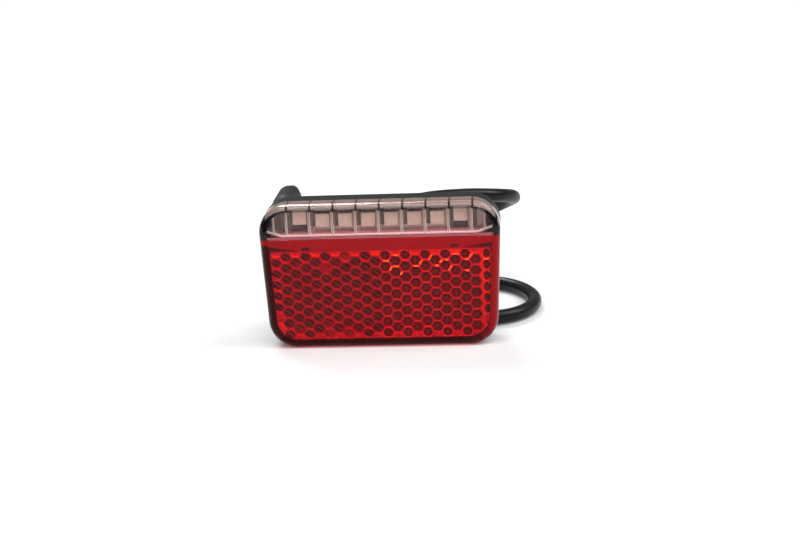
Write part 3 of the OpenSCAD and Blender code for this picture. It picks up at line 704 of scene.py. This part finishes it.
# Lines along the clear rounding, as shares of the way round it: end of the plain front, start and width of
# the bright rim, a partly painted highlight, and start of the crown
FRONT_END = 0.03
RIM_START = 0.22
RIM_WIDTH = 0.06
CROWN_START = 0.86
# The rim moves back where the outline turns away from straight up, and faster so on the left, where more of
# the rounding stays dark as painted shade
RIM_FALL = 0.5
RIM_FALL_FROM = 0.95
LEFT_FALL = 1.5
LEFT_FALL_FROM = 0.6
SIDEWAYS = 0.1
# Clarity of the red rim, hazier towards the right as partly painted light, and how far the outline turns to
# the right where it changes
RED_CLARITY = (0.96, 0.88, 0.7, 0.5)
RED_TURNS = (0.1, 0.5, 0.85)


class REARLIGHT_OT_lens(bpy.types.Operator):
    """Two-shot lens cap, clear above and red below"""
    bl_idname = "rearlight.lens"
    bl_label = "Lens cap"

    def execute(self, context):
        sizes = settings().sizes
        colours = settings().colours
        pitch = sizes.cell_pitch
        outline = Outline(sizes, settings().corner_steps)
        steps = settings().round_steps
        quarter = math.pi / 2
        depth = LENS_HIGH.y - FRONT_Y
        edge = sizes.front_round
        # Profile of inset and depth behind the front, from the front face over the rim to the inner face
        profile = [(edge + edge * math.cos(a), edge - edge * math.sin(a))
                   for a in [quarter + quarter * k / steps for k in range(steps + 1)]]
        profile += [(0, SIDE_LOOP * depth), (0, depth), (sizes.cap_side, depth),
                    (sizes.cap_side, sizes.lens_wall)]
        loops = [[(x, FRONT_Y + y, z) for x, z in outline.loop(inset)] for inset, y in profile]
        points, faces = bands(loops)
        # Injection-moulded polycarbonate: clear as glass, with faint flow marks, hazy along its upper edge.
        # The bands round its upper rounding paint what refraction and the overhead lamp show there: the grey
        # turn and the brown crown are painted shade, the bright rim and the right side reflect more as a
        # partly painted highlight, the hazy edge and wall are partly painted light, and dark lines paint
        # where the dividers show through
        clears = [
            glassy("clear_polycarbonate" + part, tint, POLYCARBONATE_IOR, rough, flow_mm, clarity, mirror,
                   pitch=lines)
            for part, tint, rough, flow_mm, clarity, mirror, lines in (
                ("", colours.clear, 0.02, 9.0, 1.0, 0.1, 0),
                ("_rim", colours.clear, 0.03, 9.0, 0.8, 0.7, pitch),
                ("_edge", colours.clear_edge, 0.1, 4.0, 0.65, 0.5, pitch),
                ("_side", colours.clear, 0.03, 9.0, 1.0, 1.0, 0),
                ("_wall", colours.clear_edge, 0.1, 4.0, 0.75, 0.1, pitch),
                ("_turn", linear("#9A9496"), 0.03, 9.0, 1.0, 0.1, pitch),
                ("_crown", linear("#96766A"), 0.1, 4.0, 0.75, 0.1, pitch))]
        # The same resin, dyed through: deep red, and hazier round the rim towards the right, partly painted
        # light where the right lamp catches it
        reds = [glassy("red_polycarbonate", colours.red, POLYCARBONATE_IOR, 0.02, 9.0, mirror=0.19)]
        reds += [glassy("red_polycarbonate_rim_" + str(k), colours.red_edge, POLYCARBONATE_IOR, 0.06, 5.0,
                        clarity, mirror=0.12, shadow=0.2) for k, clarity in enumerate(RED_CLARITY)]
        count = len(loops[0])
        turns = outline.normals()

        def clear_kind(band, turn):
            """Material of the clear lens: bands of painted light and shade run along its rounding and its
            rear edge.
            """
            share = band / steps
            if band > steps + 1:
                return CLEAR
            start = RIM_START + RIM_FALL * max(0.0, RIM_FALL_FROM - turn.y)
            if turn.x < 0:
                start += LEFT_FALL * max(0.0, LEFT_FALL_FROM - turn.y)
            if share < start:
                return TURN if turn.y > SIDEWAYS and share > FRONT_END else CLEAR
            if turn.y < SIDEWAYS:
                return SIDE if turn.x > 0 else CLEAR
            if share < start + RIM_WIDTH:
                return RIM
            if CROWN_START < share < 1:
                return CROWN
            return EDGE if band < steps else WALL

        def red_kind(band, turn):
            """Material of the red lens: its rounding and side grow hazier towards the right, as partly
            painted light.
            """
            if band > steps + 1:
                return 0
            return 1 + sum(turn.x > least for least in RED_TURNS)

        for name, side, materials, kind in (
                ("clear_lens", 1, clears, clear_kind), ("red_lens", -1, reds, red_kind)):
            bm = bmesh.new()
            made = [bm.verts.new(p) for p in points]
            for k, face in enumerate(faces):
                skin = bm.faces.new([made[n] for n in face])
                skin.material_index = kind(k // count, turns[k % count])
            cut = sliced(bm, LENS_REACH, (0, 0, SPLIT_Z + side * SEAM), (0, 0, side), clear_inner=True)
            edges = [g for g in cut["geom_cut"] if isinstance(g, bmesh.types.BMEdge)]
            bmesh.ops.triangle_fill(bm, edges=edges, use_beauty=True)
            if side < 0:
                # Hazy stripe on the left side, level with the plain margin of the reflector
                stripe_low = SPLIT_Z - STRIPE_DROP
                sliced(bm, LENS_REACH, (0, 0, stripe_low), (0, 0, 1))
                for skin in bm.faces:
                    spot = skin.calc_center_median()
                    if skin.material_index == 1 and spot.z > stripe_low and spot.x < 0:
                        skin.material_index = len(RED_CLARITY)
            bmesh.ops.recalc_face_normals(bm, faces=bm.faces)
            place(to_mesh(bm, name + "_shot"), materials, name)
        return {"FINISHED"}


# Factors of the repeatable scatter
SCATTER_ACROSS = 12.9898
SCATTER_UP = 78.233
SCATTER_SPREAD = 43758.5453


def scatter(i, j):
    """Repeatable number from 0 to 1 for a prism of the lattice."""
    value = math.sin(i * SCATTER_ACROSS + j * SCATTER_UP) * SCATTER_SPREAD
    return value - math.floor(value)


# Prism field: width that the lattice covers, small upper corners of the field and of its skirt, and how near
# points are joined, or count as on a cut, or as one, in metres
FIELD_SPAN = 74 * MM
FIELD_CORNER = 1.1 * MM
SKIRT_CORNER = 1.3 * MM
JOIN_GAP = 0.01 * MM
FIELD_REACH = 1e-8
LEAST_RUN = 1e-9
# Cube corners as seen through the plate: half axes of the dark part on the left and on the right, its lean,
# and least widths of the ridge and the web round it
DARK_LEFT = (1.66 * MM, 1.17 * MM)
DARK_RIGHT = (1.47 * MM, 1.40 * MM)
DARK_LEAN = math.radians(-28)
RIDGE_WIDTH = 0.12 * MM
LEAST_WEB = 0.05 * MM
# The last column on the right is seen at a slant, so the near side of its dark parts is narrow
LAST_COLUMN = 30.5 * MM
LAST_NARROW = 0.55
# Seeming depth of the ridges' feet, and of the dark parts at their rim and in the middle
FOOT_DEPTH = 0.04 * MM
RIM_DEPTH = 0.12 * MM
PIT_DEPTH = 0.55 * MM
SPOKES = 24
# Mirrored edges that show in a cube corner, a painted reflection: direction in degrees and tone, width, reach
# as a share of the dark part, lift from its middle, and depth at the outer end
EDGES_LEFT = ((-35, 0.44), (145, 0.44), (85, 0.24))
EDGES_RIGHT = tuple((turn, 0.34) for turn in range(30, 360, 60))
EDGE_WIDTH = 0.2 * MM
EDGE_REACH = 0.93
EDGE_LIFT = 0.05 * MM
EDGE_DEPTH = 0.1 * MM
# Tones from 0, deep maroon, to 1, hot orange, all painted light and shade, on the left and on the right:
# level ridges, the others, webs, and what webs near the field's edge gain
LEVEL_RIDGE = (0.68, 0.85)
RIDGE = (0.56, 0.62)
WEB = (0.32, 0.38)
EDGE_WEB = (0.25, 0.42)
EDGE_WEB_GAP = 2.1 * MM
# Spread of the webs' tones by chance, what level ones gain as painted light, tone of the darkest facet and
# steps to the others, painted shade that sets the three faces of a cube corner apart
WEB_SPREAD = 0.1
WEB_LEVEL = 0.08
FACET_TONE = 0.04
FACET_STEP = 0.05
# The upper right of the field throws more of the overhead light forwards, in painted light: heights, and
# gains of ridge and web
WARM_LOW = 14 * MM
WARM_HIGH = 25 * MM
RIDGE_WARM = 0.1
WEB_WARM = 0.05
# Prisms of the left look washed out in an upper patch and along the bottom, in painted light: places,
# chance and gain
WASHED_ABOVE = 23.5 * MM
WASHED_LEFT = -9 * MM
WASHED_BELOW = 9 * MM
WASHED_FROM = 0.45
WASHED_TONE = 0.3
# Cells that the field's edge cuts off are bright, and hot at the top and in the lower left corner: painted
# light
CUT_GAP = 0.9 * MM
CORNER_LEFT = -26 * MM
CORNER_BELOW = 9 * MM
HOT_WEB = 0.97
# Facets that throw the overhead lamp forwards: heights between which they show, rise and its spread, edges in
# degrees with the chances between which they show, half sizes, steps along an edge, and lift
FACETS_LOW = 21.5 * MM
FACETS_HIGH = 28.6 * MM
FACET_RISE = math.radians(43)
FACET_SPREAD = 0.1
GLINT_EDGES = ((90, 0.05, 0.45), (150, 0.36, 0.62))
GLINT_WIDE = 0.26 * MM
GLINT_TALL = 0.2 * MM
GLINT_STEP = 0.45 * MM
GLINT_START = 0.7 * MM
GLINT_LIFT = 0.1 * MM
# Plain margin: its tone, and height and rise of the frosted strip along its upper edge
MARGIN_TONE = 0.42
HAZY_STRIP = 0.95 * MM
STRIP_RISE = 0.4 * MM
# Wedges of painted shadow at the margin's ends: length, height, how proud and how deep they are, and tone
WEDGE_RUN = 9 * MM
WEDGE_RISE = 1.3 * MM
WEDGE_PROUD = 0.04 * MM
WEDGE_DEEP = 0.2 * MM
WEDGE_TONE = 0.08
# Tones of the skirt's outer wall, front rim, inner step and back: dark, as painted shade along the field's
# edge
SKIRT_TONES = (0.1, 0.0, 0.1, 0.1)
SKIRT_TOP_BAND = 0.1 * MM
# Drift of tone in the acrylic: its size and its swing
DRIFT_SIZE = 6.25 * MM
DRIFT_TONE = 0.16


def slotted_plate(xs, zs, holes, near, far):
    """Closed plate from a grid of columns and rows, without the cells that are holes."""
    def corner(i, j, y):
        return (xs[i] if not callable(xs[i]) else xs[i](zs[j]), y, zs[j])

    cells = {(i, j) for i in range(len(xs) - 1) for j in range(len(zs) - 1)} - set(holes)
    parts = []
    for i, j in sorted(cells):
        square = [(i, j), (i + 1, j), (i + 1, j + 1), (i, j + 1)]
        parts.append(([corner(*s, near) for s in square], [(0, 1, 2, 3)]))
        parts.append(([corner(*s, far) for s in square], [(3, 2, 1, 0)]))
        beside = ((i, j - 1), (i + 1, j), (i, j + 1), (i - 1, j))
        for k, other in enumerate(beside):
            if other not in cells:
                a = square[k]
                b = square[(k + 1) % 4]
                wall = [corner(*b, near), corner(*a, near), corner(*a, far), corner(*b, far)]
                parts.append((wall, [(0, 1, 2, 3)]))
    return joined(parts)


def dark_reach(angle, long, short):
    """Distance from a cube corner's middle to the edge of its dark part."""
    turn = angle - DARK_LEAN
    return long * short / math.hypot(short * math.cos(turn), long * math.sin(turn))


def new_face(bm, corners):
    """Face on new points."""
    return bm.faces.new([bm.verts.new(p) for p in corners])


class REARLIGHT_OT_reflector(bpy.types.Operator):
    """Reflex reflector: cube corners in hexagons, their skirt, the plain margin and the plate behind"""
    bl_idname = "rearlight.reflector"
    bl_label = "Reflector"

    def execute(self, context):
        sizes = settings().sizes
        outline = Outline(sizes, settings().corner_steps)
        front = INSERT_LOW.y
        base = front + sizes.field_depth
        field = outline.low_loop(sizes.field_inset, sizes.field_top, FIELD_CORNER)
        bm = bmesh.new()
        tones = bm.faces.layers.float.new("tone")
        self.prisms(bm, tones, sizes, field, base)
        bmesh.ops.remove_doubles(bm, verts=bm.verts, dist=JOIN_GAP)
        for (ax, az), (bx, bz) in zip(field, field[1:] + field[:1]):
            run = math.hypot(bx - ax, bz - az)
            if run < LEAST_RUN:
                continue
            sliced(bm, FIELD_REACH, (ax, 0, az), ((bz - az) / run, 0, -(bx - ax) / run), clear_outer=True)

        # Skirt: outer wall, front rim and inner step down to the prisms, dark with painted shade but for its
        # upper band
        skirt_inset = sizes.field_inset - sizes.skirt_t
        skirt_top = sizes.field_top + sizes.skirt_t
        ring = outline.low_loop(skirt_inset, skirt_top, SKIRT_CORNER)
        loops = [[(x, y, z) for x, z in loop] for loop, y in (
            (ring, INSERT_HIGH.y), (ring, front), (field, front), (field, INSERT_HIGH.y))]
        made = [[bm.verts.new(p) for p in loop] for loop in loops]
        for k, tone in enumerate(SKIRT_TONES):
            near = made[k]
            far = made[(k + 1) % len(made)]
            for s in range(len(near)):
                n = (s + 1) % len(near)
                skin = bm.faces.new((near[s], near[n], far[n], far[s]))
                upper = min(near[s].co.z, near[n].co.z) > sizes.field_top - SKIRT_TOP_BAND
                skin[tones] = MARGIN_TONE if upper else tone

        # Plain margin above the prisms, with a slot for each lug of the cell tray and a hazy upper edge
        half = sizes.slot_w / 2
        slot_low = sizes.slot_z - sizes.slot_h / 2
        xs = [lambda z: -outline.side_x(skirt_inset, z), -sizes.slot_x - half, -sizes.slot_x + half,
              sizes.slot_x - half, sizes.slot_x + half, lambda z: outline.side_x(skirt_inset, z)]
        strip_top = INSERT_HIGH.z + STRIP_RISE
        zs = [skirt_top, slot_low, slot_low + sizes.slot_h, strip_top - HAZY_STRIP, strip_top]
        points, faces = slotted_plate(xs, zs, [(1, 1), (3, 1)], front, front + sizes.plate_t)
        made = [bm.verts.new(p) for p in points]
        for face in faces:
            skin = bm.faces.new([made[n] for n in face])
            skin[tones] = MARGIN_TONE
            if sum(points[n][2] for n in face) / len(face) > strip_top - 0.9 * HAZY_STRIP:
                skin.material_index = 2
        # Low wedges of painted shadow on the margin, one at each end, deep red where they meet the skirt
        for side in (-1, 1):
            outer = side * outline.side_x(skirt_inset, skirt_top)
            tip = outer - side * WEDGE_RUN
            flat = ((outer, skirt_top), (tip, skirt_top), (outer, skirt_top + WEDGE_RISE))
            near = [bm.verts.new((x, front - WEDGE_PROUD, z)) for x, z in flat]
            far = [bm.verts.new((x, front + WEDGE_DEEP, z)) for x, z in flat]
            skins = [near, far[::-1]] + [(near[k], far[k], far[k - 2], near[k - 2]) for k in range(3)]
            for skin in skins:
                bm.faces.new(skin)[tones] = WEDGE_TONE
        # Polished prism faces act as mirrors; the sawn upper edge of the margin is frosted
        facet = grained("red_acrylic_mirror", linear("#FFD03C"), grain_mm=0.6, depth_mm=0.003, rough=0.12,
                        spread=0.05, wear_mm=4.0, Metallic=1.0)
        frosted = grained("frosted_acrylic", linear("#9D5965"), grain_mm=0.5, depth_mm=0.006, rough=0.5,
                          spread=0.12, wear_mm=5.0)
        place(to_mesh(bm, "reflector_field"), [self.acrylic(), facet, frosted],
              "reflex_insert", 12)
        # Moulded plate behind the prisms: dark red and matt
        plate = grained("red_abs", linear("#5A0F14"), grain_mm=0.4, depth_mm=0.01, rough=0.5, wear_mm=9.0)
        finish_node("reflex_closing_plate", plate, soft_mm=0.1)
        return {"FINISHED"}

    def prisms(self, bm, tones, sizes, field, base):
        """Each hexagon: a thin ridge, a web, and a cube corner with three faces and mirrored edges, in tones
        of painted light and shade.
        """
        side = sizes.prism_side
        row = side * math.sqrt(3) / 2
        columns = math.ceil(FIELD_SPAN / side) + 2
        rows = 2 * math.ceil((sizes.field_top - sizes.field_inset) / row / 2) + 2
        left = side / 4 - columns * side / 2
        bottom = sizes.field_top - row * (rows - 1)

        def edge_gap(x, z):
            """Distance from a point to the nearest edge of the field, negative outside."""
            gaps = []
            for (ax, az), (bx, bz) in zip(field, field[1:] + field[:1]):
                run = math.hypot(bx - ax, bz - az)
                if run > LEAST_RUN:
                    gaps.append(((bx - ax) * (z - az) - (bz - az) * (x - ax)) / run)
            return min(gaps)

        for j in range(rows + 2):
            for i in range(-1, columns + 2):
                if (i - j // 2 - j + 3 * rows + 1) % 3:
                    continue
                cx = left + side * (i + (j % 2) / 2)
                cz = bottom + row * j
                gap = edge_gap(cx, cz)
                if gap < -side:
                    continue
                mirrored = cx > 0
                hand = int(mirrored)
                luck = scatter(i, j)
                rim_a, rim_b = DARK_RIGHT if mirrored else DARK_LEFT
                # Painted light: cut-off cells are bright, hot ones brighter, the upper right lit more, and
                # patches on the left washed out
                cut_off = gap < CUT_GAP
                hot = cz > sizes.field_top - row or cx < CORNER_LEFT and cz < CORNER_BELOW
                washed = 0.0
                warm = 0.0
                if mirrored:
                    warm = min(1.0, max(0.0, (cz - WARM_LOW) / (WARM_HIGH - WARM_LOW)))
                elif cz > WASHED_ABOVE and cx < WASHED_LEFT or cz < WASHED_BELOW:
                    washed = WASHED_TONE * max(0.0, luck - WASHED_FROM) / (1 - WASHED_FROM)
                rings = [[], [], []]
                for s in range(SPOKES):
                    a = 2 * math.pi * s / SPOKES
                    flat = side * math.cos(math.pi / 6) / math.cos(a % (math.pi / 3) - math.pi / 6)
                    reach = min(dark_reach(a, rim_a, rim_b), flat - RIDGE_WIDTH - LEAST_WEB)
                    if cx > LAST_COLUMN and math.cos(a) < 0:
                        reach *= 1 + LAST_NARROW * math.cos(a)
                    for ring, r, y in zip(rings, (flat, flat - RIDGE_WIDTH, reach),
                                          (base, base + FOOT_DEPTH, base + RIM_DEPTH)):
                        ring.append(bm.verts.new((cx + r * math.cos(a), y, cz + r * math.sin(a))))
                depth = base + (RIM_DEPTH if cut_off else PIT_DEPTH)
                centre = bm.verts.new((cx, depth, cz))
                for s in range(SPOKES):
                    n = (s + 1) % SPOKES
                    angle = 360 * (s + 0.5) / SPOKES
                    level = 60 < angle % 180 < 120
                    ridge = bm.faces.new((rings[0][s], rings[0][n], rings[1][n], rings[1][s]))
                    ridge[tones] = LEVEL_RIDGE[hand] if level else RIDGE[hand] + RIDGE_WARM * warm
                    web = bm.faces.new((rings[1][s], rings[1][n], rings[2][n], rings[2][s]))
                    facet = bm.faces.new((rings[2][s], rings[2][n], centre))
                    if cut_off:
                        web[tones] = HOT_WEB if hot else 0.5 + 0.3 * luck
                        facet[tones] = 1.0 - 0.3 * luck if hot else 0.35 + 0.5 * scatter(j, s + i)
                        continue
                    web[tones] = WEB[hand] + WEB_SPREAD * (luck - 0.5) + WEB_LEVEL * level + WEB_WARM * warm
                    if gap < EDGE_WEB_GAP:
                        web[tones] += EDGE_WEB[hand]
                    # The three faces of a cube corner take three tones: painted shade
                    third = int((angle + (60 if mirrored else 0)) // 120) % 3
                    facet[tones] = FACET_TONE + FACET_STEP * third + washed
                if cut_off:
                    continue
                for turn, tone in EDGES_RIGHT if mirrored else EDGES_LEFT:
                    a = math.radians(turn)
                    r = EDGE_REACH * dark_reach(a, rim_a, rim_b)
                    across = Vector((-math.sin(a), 0, math.cos(a))) * EDGE_WIDTH / 2
                    near = Vector((cx, depth - EDGE_LIFT, cz))
                    far = Vector((cx + r * math.cos(a), base + EDGE_DEPTH, cz + r * math.sin(a)))
                    line = new_face(bm, (near - across, far - across, far + across, near + across))
                    line[tones] = tone + washed / 2
                if mirrored and FACETS_LOW < cz < FACETS_HIGH:
                    self.glints(bm, Vector((cx, base - GLINT_LIFT, cz)), row, luck, scatter(j, i))

    def glints(self, bm, middle, row, luck, chance):
        """Polished facets that catch the overhead lamp, in short steps along an upper edge of a prism."""
        facing = FACET_RISE + FACET_SPREAD * (luck - 0.5)
        tall = Vector((0, math.sin(facing), math.cos(facing))) * GLINT_TALL
        wide = Vector((GLINT_WIDE, 0, 0))
        for turn, low, high in GLINT_EDGES:
            if not low < chance < high:
                continue
            a = math.radians(turn)
            along = Vector((-math.sin(a), 0, math.cos(a)))
            spot = middle + Vector((math.cos(a), 0, math.sin(a))) * row
            for step in range(2 + int(3 * luck)):
                at = spot + along * (GLINT_STEP * step - GLINT_START)
                skin = new_face(bm, (at - wide - tall, at + wide - tall, at + wide + tall, at - wide + tall))
                skin.material_index = 1

    def acrylic(self):
        """Dyed acrylic from a polished mould, its tones painted light and shade: the prisms look deep maroon,
        the webs between bright red.
        """
        colours = settings().colours
        acrylic, tree = blank("red_acrylic")
        tone = add(tree, "ShaderNodeAttribute", {"attribute_name": "tone"}).outputs["Fac"]
        spot = add(tree, "ShaderNodeTexCoord").outputs["Object"]
        drift = add(tree, "ShaderNodeTexNoise", inputs={
            "Vector": spot, "Scale": 1 / DRIFT_SIZE, "Detail": 3.0})
        mixed = add(tree, "ShaderNodeMath", {"operation": "MULTIPLY_ADD"}, {
            0: drift.outputs["Fac"], 1: DRIFT_TONE, 2: tone})
        mixed = add(tree, "ShaderNodeMath", {"operation": "SUBTRACT"}, {
            0: mixed.outputs["Value"], 1: DRIFT_TONE / 2})
        ramp = add(tree, "ShaderNodeValToRGB", inputs={"Fac": mixed.outputs["Value"]})
        stops = ((0.0, shade(colours.prism_dark, 0.55)), (0.2, shade(colours.prism_dark, 0.95)),
                 (0.5, shade(colours.prism_web, 0.75)), (0.75, shade(colours.prism_web, 1.2)),
                 (1.0, shade(colours.prism_hot, 1.0)))
        while len(ramp.color_ramp.elements) < len(stops):
            ramp.color_ramp.elements.new(0.5)
        for stop, (where, tint) in zip(ramp.color_ramp.elements, stops):
            stop.position = where
            stop.color = tint
        shader = add(tree, "ShaderNodeBsdfPrincipled", inputs={
            "Base Color": ramp.outputs["Color"], "Roughness": 0.22, "IOR": ACRYLIC_IOR,
            "Specular IOR Level": 0.08})
        surface(tree, shader.outputs["BSDF"])
        return acrylic


# Board, as shares of the cell pitch: width of the strip of painted shade left of each lamp, how far from the
# middle the painted light lies below the lamps, and middle and half width of the stretch with painted light
DARK_STRIP = 0.21
UNDER_REACH = 3
PAINTED_LIGHT_MIDDLE = 0.25
PAINTED_LIGHT_REACH = 4.25
# Glass weave of the board: its size and its swing of tone
WEAVE_SIZE = 0.5 * MM
WEAVE_TONE = 0.12


class REARLIGHT_OT_cells(bpy.types.Operator):
    """Cell tray, lamps, circuit board and its components"""
    bl_idname = "rearlight.cells"
    bl_label = "Light cells"

    def execute(self, context):
        colours = settings().colours
        # Moulded clear acrylic: a glassy comb, with hazy edges that show as bright lines on its thin walls;
        # its hazy floor is pink with partly painted red light, and its lugs are dark with painted shade
        acrylic = glassy("clear_acrylic", colours.tray, ACRYLIC_IOR, rough=0.03, flow_mm=4.0, clarity=0.85,
                         below=(TRAY_FLOOR, 0.15, colours.tray_floor))
        hazy = grained("hazy_acrylic_edge", colours.tray_edge, grain_mm=0.5, depth_mm=0.004, rough=0.3,
                       spread=0.04, below=(LUG_TOP, LUG_SHADE))
        finish_node("cell_tray", acrylic, soft_mm=0.14, edge=hazy)
        # Moulded lamp body: warm white, matt
        body = grained("lamp_body", colours.lamp, grain_mm=0.5, depth_mm=0.006, rough=0.45, spread=0.05,
                       wear_mm=3.0)
        finish_node("led_packages", body, soft_mm=0.12)
        # Silicone window: smooth and faintly pink
        window = grained("lamp_silicone", colours.lamp_window, grain_mm=0.5, depth_mm=0.004, rough=0.15,
                         spread=0.06, wear_mm=2.0)
        finish_node("led_windows", window, soft_mm=0.1)
        finish_node("led_board", self.board_mask(), soft_mm=0.05)
        # Resistors under a dull grey glaze
        glaze = grained("resistor_glaze", linear("#625C60"), grain_mm=0.3, depth_mm=0.006, rough=0.4,
                        spread=0.12, wear_mm=2.0)
        finish_node("current_resistors", glaze, soft_mm=0.08)
        # Moulded epoxy: black, with a fine matt grain
        epoxy = grained("black_epoxy", linear("#1B1B1D"), grain_mm=0.25, depth_mm=0.006, rough=0.5,
                        spread=0.2, wear_mm=2.0)
        finish_node("driver_chip", epoxy, soft_mm=0.06)
        finish_node("polarity_diode", epoxy, soft_mm=0.08)
        # Fired ceramic: tan, smooth and faintly uneven
        ceramic = grained("capacitor_ceramic", linear("#A98963"), grain_mm=0.3, depth_mm=0.004, rough=0.4,
                          spread=0.1, wear_mm=2.0)
        finish_node("filter_capacitor", ceramic, soft_mm=0.1)
        # Wire insulation: glossy vinyl
        for node, name, code, spread in (("wire_positive", "red_vinyl", "#B01C1C", 0.1),
                                         ("wire_negative", "black_wire_vinyl", "#141414", 0.2)):
            vinyl = grained(name, linear(code), grain_mm=0.4, depth_mm=0.004, rough=0.3, spread=spread,
                            wear_mm=2.0)
            finish_node(node, vinyl)
        return {"FINISHED"}

    def board_mask(self):
        """Glass-fibre board under a satin mask, pale round each lamp, partly as painted light, but for a
        strip of painted shade on its left.
        """
        colours = settings().colours
        pitch = settings().sizes.cell_pitch
        mask, tree = blank("solder_mask")
        spot = add(tree, "ShaderNodeTexCoord").outputs["Object"]
        axes = add(tree, "ShaderNodeSeparateXYZ", inputs={"Vector": spot})
        across = add(tree, "ShaderNodeMath", {"operation": "WRAP"}, {0: axes.outputs["X"], 1: pitch, 2: 0.0})
        beside = add(tree, "ShaderNodeMath", {"operation": "GREATER_THAN"}, {
            0: across.outputs["Value"], 1: DARK_STRIP * pitch})
        lamps_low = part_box("led_packages")[0].z
        under = add(tree, "ShaderNodeMath", {"operation": "LESS_THAN"}, {0: axes.outputs["Z"], 1: lamps_low})
        away = add(tree, "ShaderNodeMath", {"operation": "ABSOLUTE"}, {0: axes.outputs["X"]})
        inner = add(tree, "ShaderNodeMath", {"operation": "LESS_THAN"}, {
            0: away.outputs["Value"], 1: UNDER_REACH * pitch})
        under = add(tree, "ShaderNodeMath", {"operation": "MULTIPLY"}, {
            0: under.outputs["Value"], 1: inner.outputs["Value"]})
        painted_light = add(tree, "ShaderNodeMath", {"operation": "MAXIMUM"}, {
            0: beside.outputs["Value"], 1: under.outputs["Value"]})
        lit = add(tree, "ShaderNodeMath", {"operation": "COMPARE"}, {
            0: axes.outputs["X"], 1: PAINTED_LIGHT_MIDDLE * pitch, 2: PAINTED_LIGHT_REACH * pitch})
        painted_light = add(tree, "ShaderNodeMath", {"operation": "MULTIPLY"}, {
            0: painted_light.outputs["Value"], 1: lit.outputs["Value"]})
        weave = add(tree, "ShaderNodeTexNoise", inputs={
            "Vector": spot, "Scale": 1 / WEAVE_SIZE, "Detail": 2.0})
        mixed = add(tree, "ShaderNodeMath", {"operation": "MULTIPLY_ADD"}, {
            0: weave.outputs["Fac"], 1: WEAVE_TONE, 2: painted_light.outputs["Value"]})
        tint = add(tree, "ShaderNodeMix", {"data_type": "RGBA"}, {
            "Factor": mixed.outputs["Value"], "A": shade(colours.board, 1),
            "B": shade(colours.board_light, 1)})
        shader = add(tree, "ShaderNodeBsdfPrincipled", inputs={
            "Base Color": tint.outputs["Result"], "Roughness": 0.35})
        surface(tree, shader.outputs["BSDF"])
        return mask


STEPS = (
    REARLIGHT_OT_stage, REARLIGHT_OT_lead, REARLIGHT_OT_plug, REARLIGHT_OT_grommet, REARLIGHT_OT_housing,
    REARLIGHT_OT_studs, REARLIGHT_OT_lens, REARLIGHT_OT_reflector, REARLIGHT_OT_cells,
)


class REARLIGHT_PT_panel(bpy.types.Panel):
    """Sidebar panel with one button for each step"""
    bl_idname = "REARLIGHT_PT_panel"
    bl_label = "Rear light"
    bl_space_type = "VIEW_3D"
    bl_region_type = "UI"
    bl_category = "Rear light"

    def draw(self, context):
        for step in STEPS:
            self.layout.operator(step.bl_idname)


CLASSES = (RearLightSizes, RearLightColours, RearLightSettings, *STEPS, REARLIGHT_PT_panel)


def register():
    for kind in CLASSES:
        bpy.utils.register_class(kind)
    bpy.types.Scene.rear_light = PointerProperty(type=RearLightSettings)


def unregister():
    del bpy.types.Scene.rear_light
    for kind in reversed(CLASSES):
        bpy.utils.unregister_class(kind)


def main():
    """Registers the add-on and runs each step."""
    register()
    for step in STEPS:
        group, name = step.bl_idname.split(".")
        getattr(getattr(bpy.ops, group), name)()
    bpy.context.view_layer.update()


if __name__ == "__main__":
    main()
